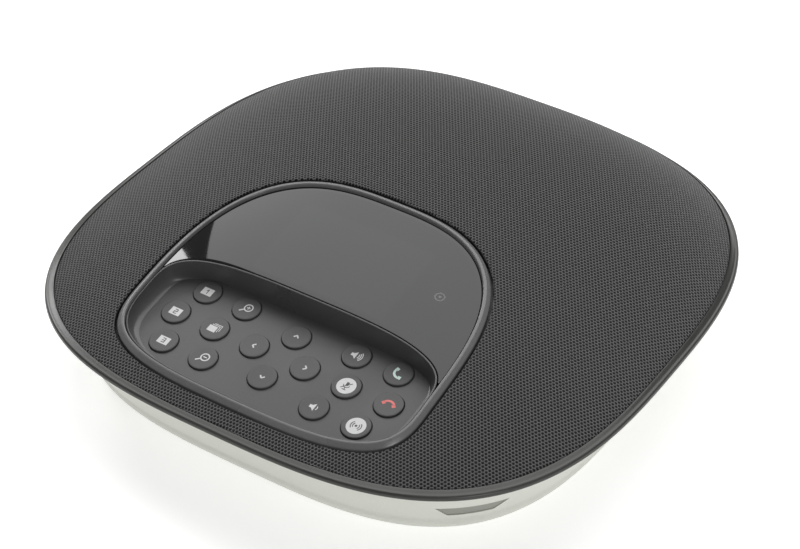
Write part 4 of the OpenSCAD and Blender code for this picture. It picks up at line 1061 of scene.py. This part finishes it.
studio = {
    "floor": (0.86, 0.86, 0.855), "aim": (0.0, 0.0, body["rim"] * mm), "azimuth": 33.29,
    "elevation": 37.76, "distance": 0.83015, "lens": 97.135, "shift": (0.00154, -0.02037),
    "roll": -0.045, "surround": 0.25, "floorGlow": 0.48,
}
t = np.linspace(0, turn, 64, endpoint=False)
radii = np.array([0.01, 0.4, 1.2, 3.0, 8.0])[:, None]
plane = np.stack([radii * np.cos(t), radii * np.sin(t), 0 * radii * t], -1)
floorMesh = bpy.data.meshes.new("floor")
floorMesh.from_pydata(plane.reshape(-1, 3).tolist(), [],
                      gridQuads(*plane.shape[:2], False, True).reshape(-1, 4).tolist()
                      + [list(range(64))])
floor = bpy.data.objects.new("floor", floorMesh)
floor.location.z = -0.0002
scene.collection.objects.link(floor)
material, tree, shader, place = startMaterial("floorPaper", {
    "Roughness": 0.8, "Specular IOR Level": 0.1, "Emission Color": (1, 1, 1, 1),
    "Emission Strength": studio["floorGlow"]})
join(tree, mixColors(tree, noiseNode(tree, place, 30.0), studio["floor"],
                     tuple(c * 0.985 for c in studio["floor"])), shader.inputs["Base Color"])
floorMesh.materials.append(material)

world = bpy.data.worlds.new("studio")
scene.world = world
world.use_nodes = True
tree = world.node_tree
background = tree.nodes["Background"]
background.inputs["Strength"].default_value = studio["surround"]
background.inputs["Color"].default_value = (1, 1, 1, 1)

lights = {
    # place, aim, width and height in metres, roll in degrees, brightness of the face
    "backPanel": ((-0.255, 0.70, 1.095), (0, 0, 0.03), (1.46, 1.3), 11.1, 2.5),
    "leftLamp": ((-0.965, 0.290, 0.684), (-0.013, -0.038, 0.03), (0.30, 0.35), -15, 10),
    "sideFill": ((1.16, -0.755, 0.83), (0, 0, 0.03), (0.4, 0.7), 0, 6),
}
for name, (place, aim, size, roll, glow) in lights.items():
    lamp = bpy.data.lights.new(name, "AREA")
    lamp.shape = "RECTANGLE"
    lamp.size, lamp.size_y = size
    lamp.energy = glow * math.pi * size[0] * size[1]
    holder = bpy.data.objects.new(name, lamp)
    holder.location = place
    facing = (Vector(aim) - Vector(place)).to_track_quat("-Z", "Y").to_matrix()
    holder.rotation_euler = (facing @ Matrix.Rotation(math.radians(roll), 3, "Z")).to_euler()
    scene.collection.objects.link(holder)

cameraData = bpy.data.cameras.new("camera")
cameraData.lens = studio["lens"]
cameraData.sensor_width = 36
cameraData.shift_x, cameraData.shift_y = studio["shift"]
cameraData.clip_start = 0.01
camera = bpy.data.objects.new("camera", cameraData)
az, el = math.radians(studio["azimuth"]), math.radians(studio["elevation"])
back = Vector((math.sin(az) * math.cos(el), -math.cos(az) * math.cos(el), math.sin(el)))
camera.location = Vector(studio["aim"]) + studio["distance"] * back
upright = back.to_track_quat("Z", "Y").to_matrix()
rolled = upright @ Matrix.Rotation(math.radians(studio["roll"]), 3, "Z")
camera.rotation_euler = rolled.to_euler()
scene.collection.objects.link(camera)
scene.camera = camera
scene.view_settings.view_transform = "Standard"
print("floor, light and camera set")
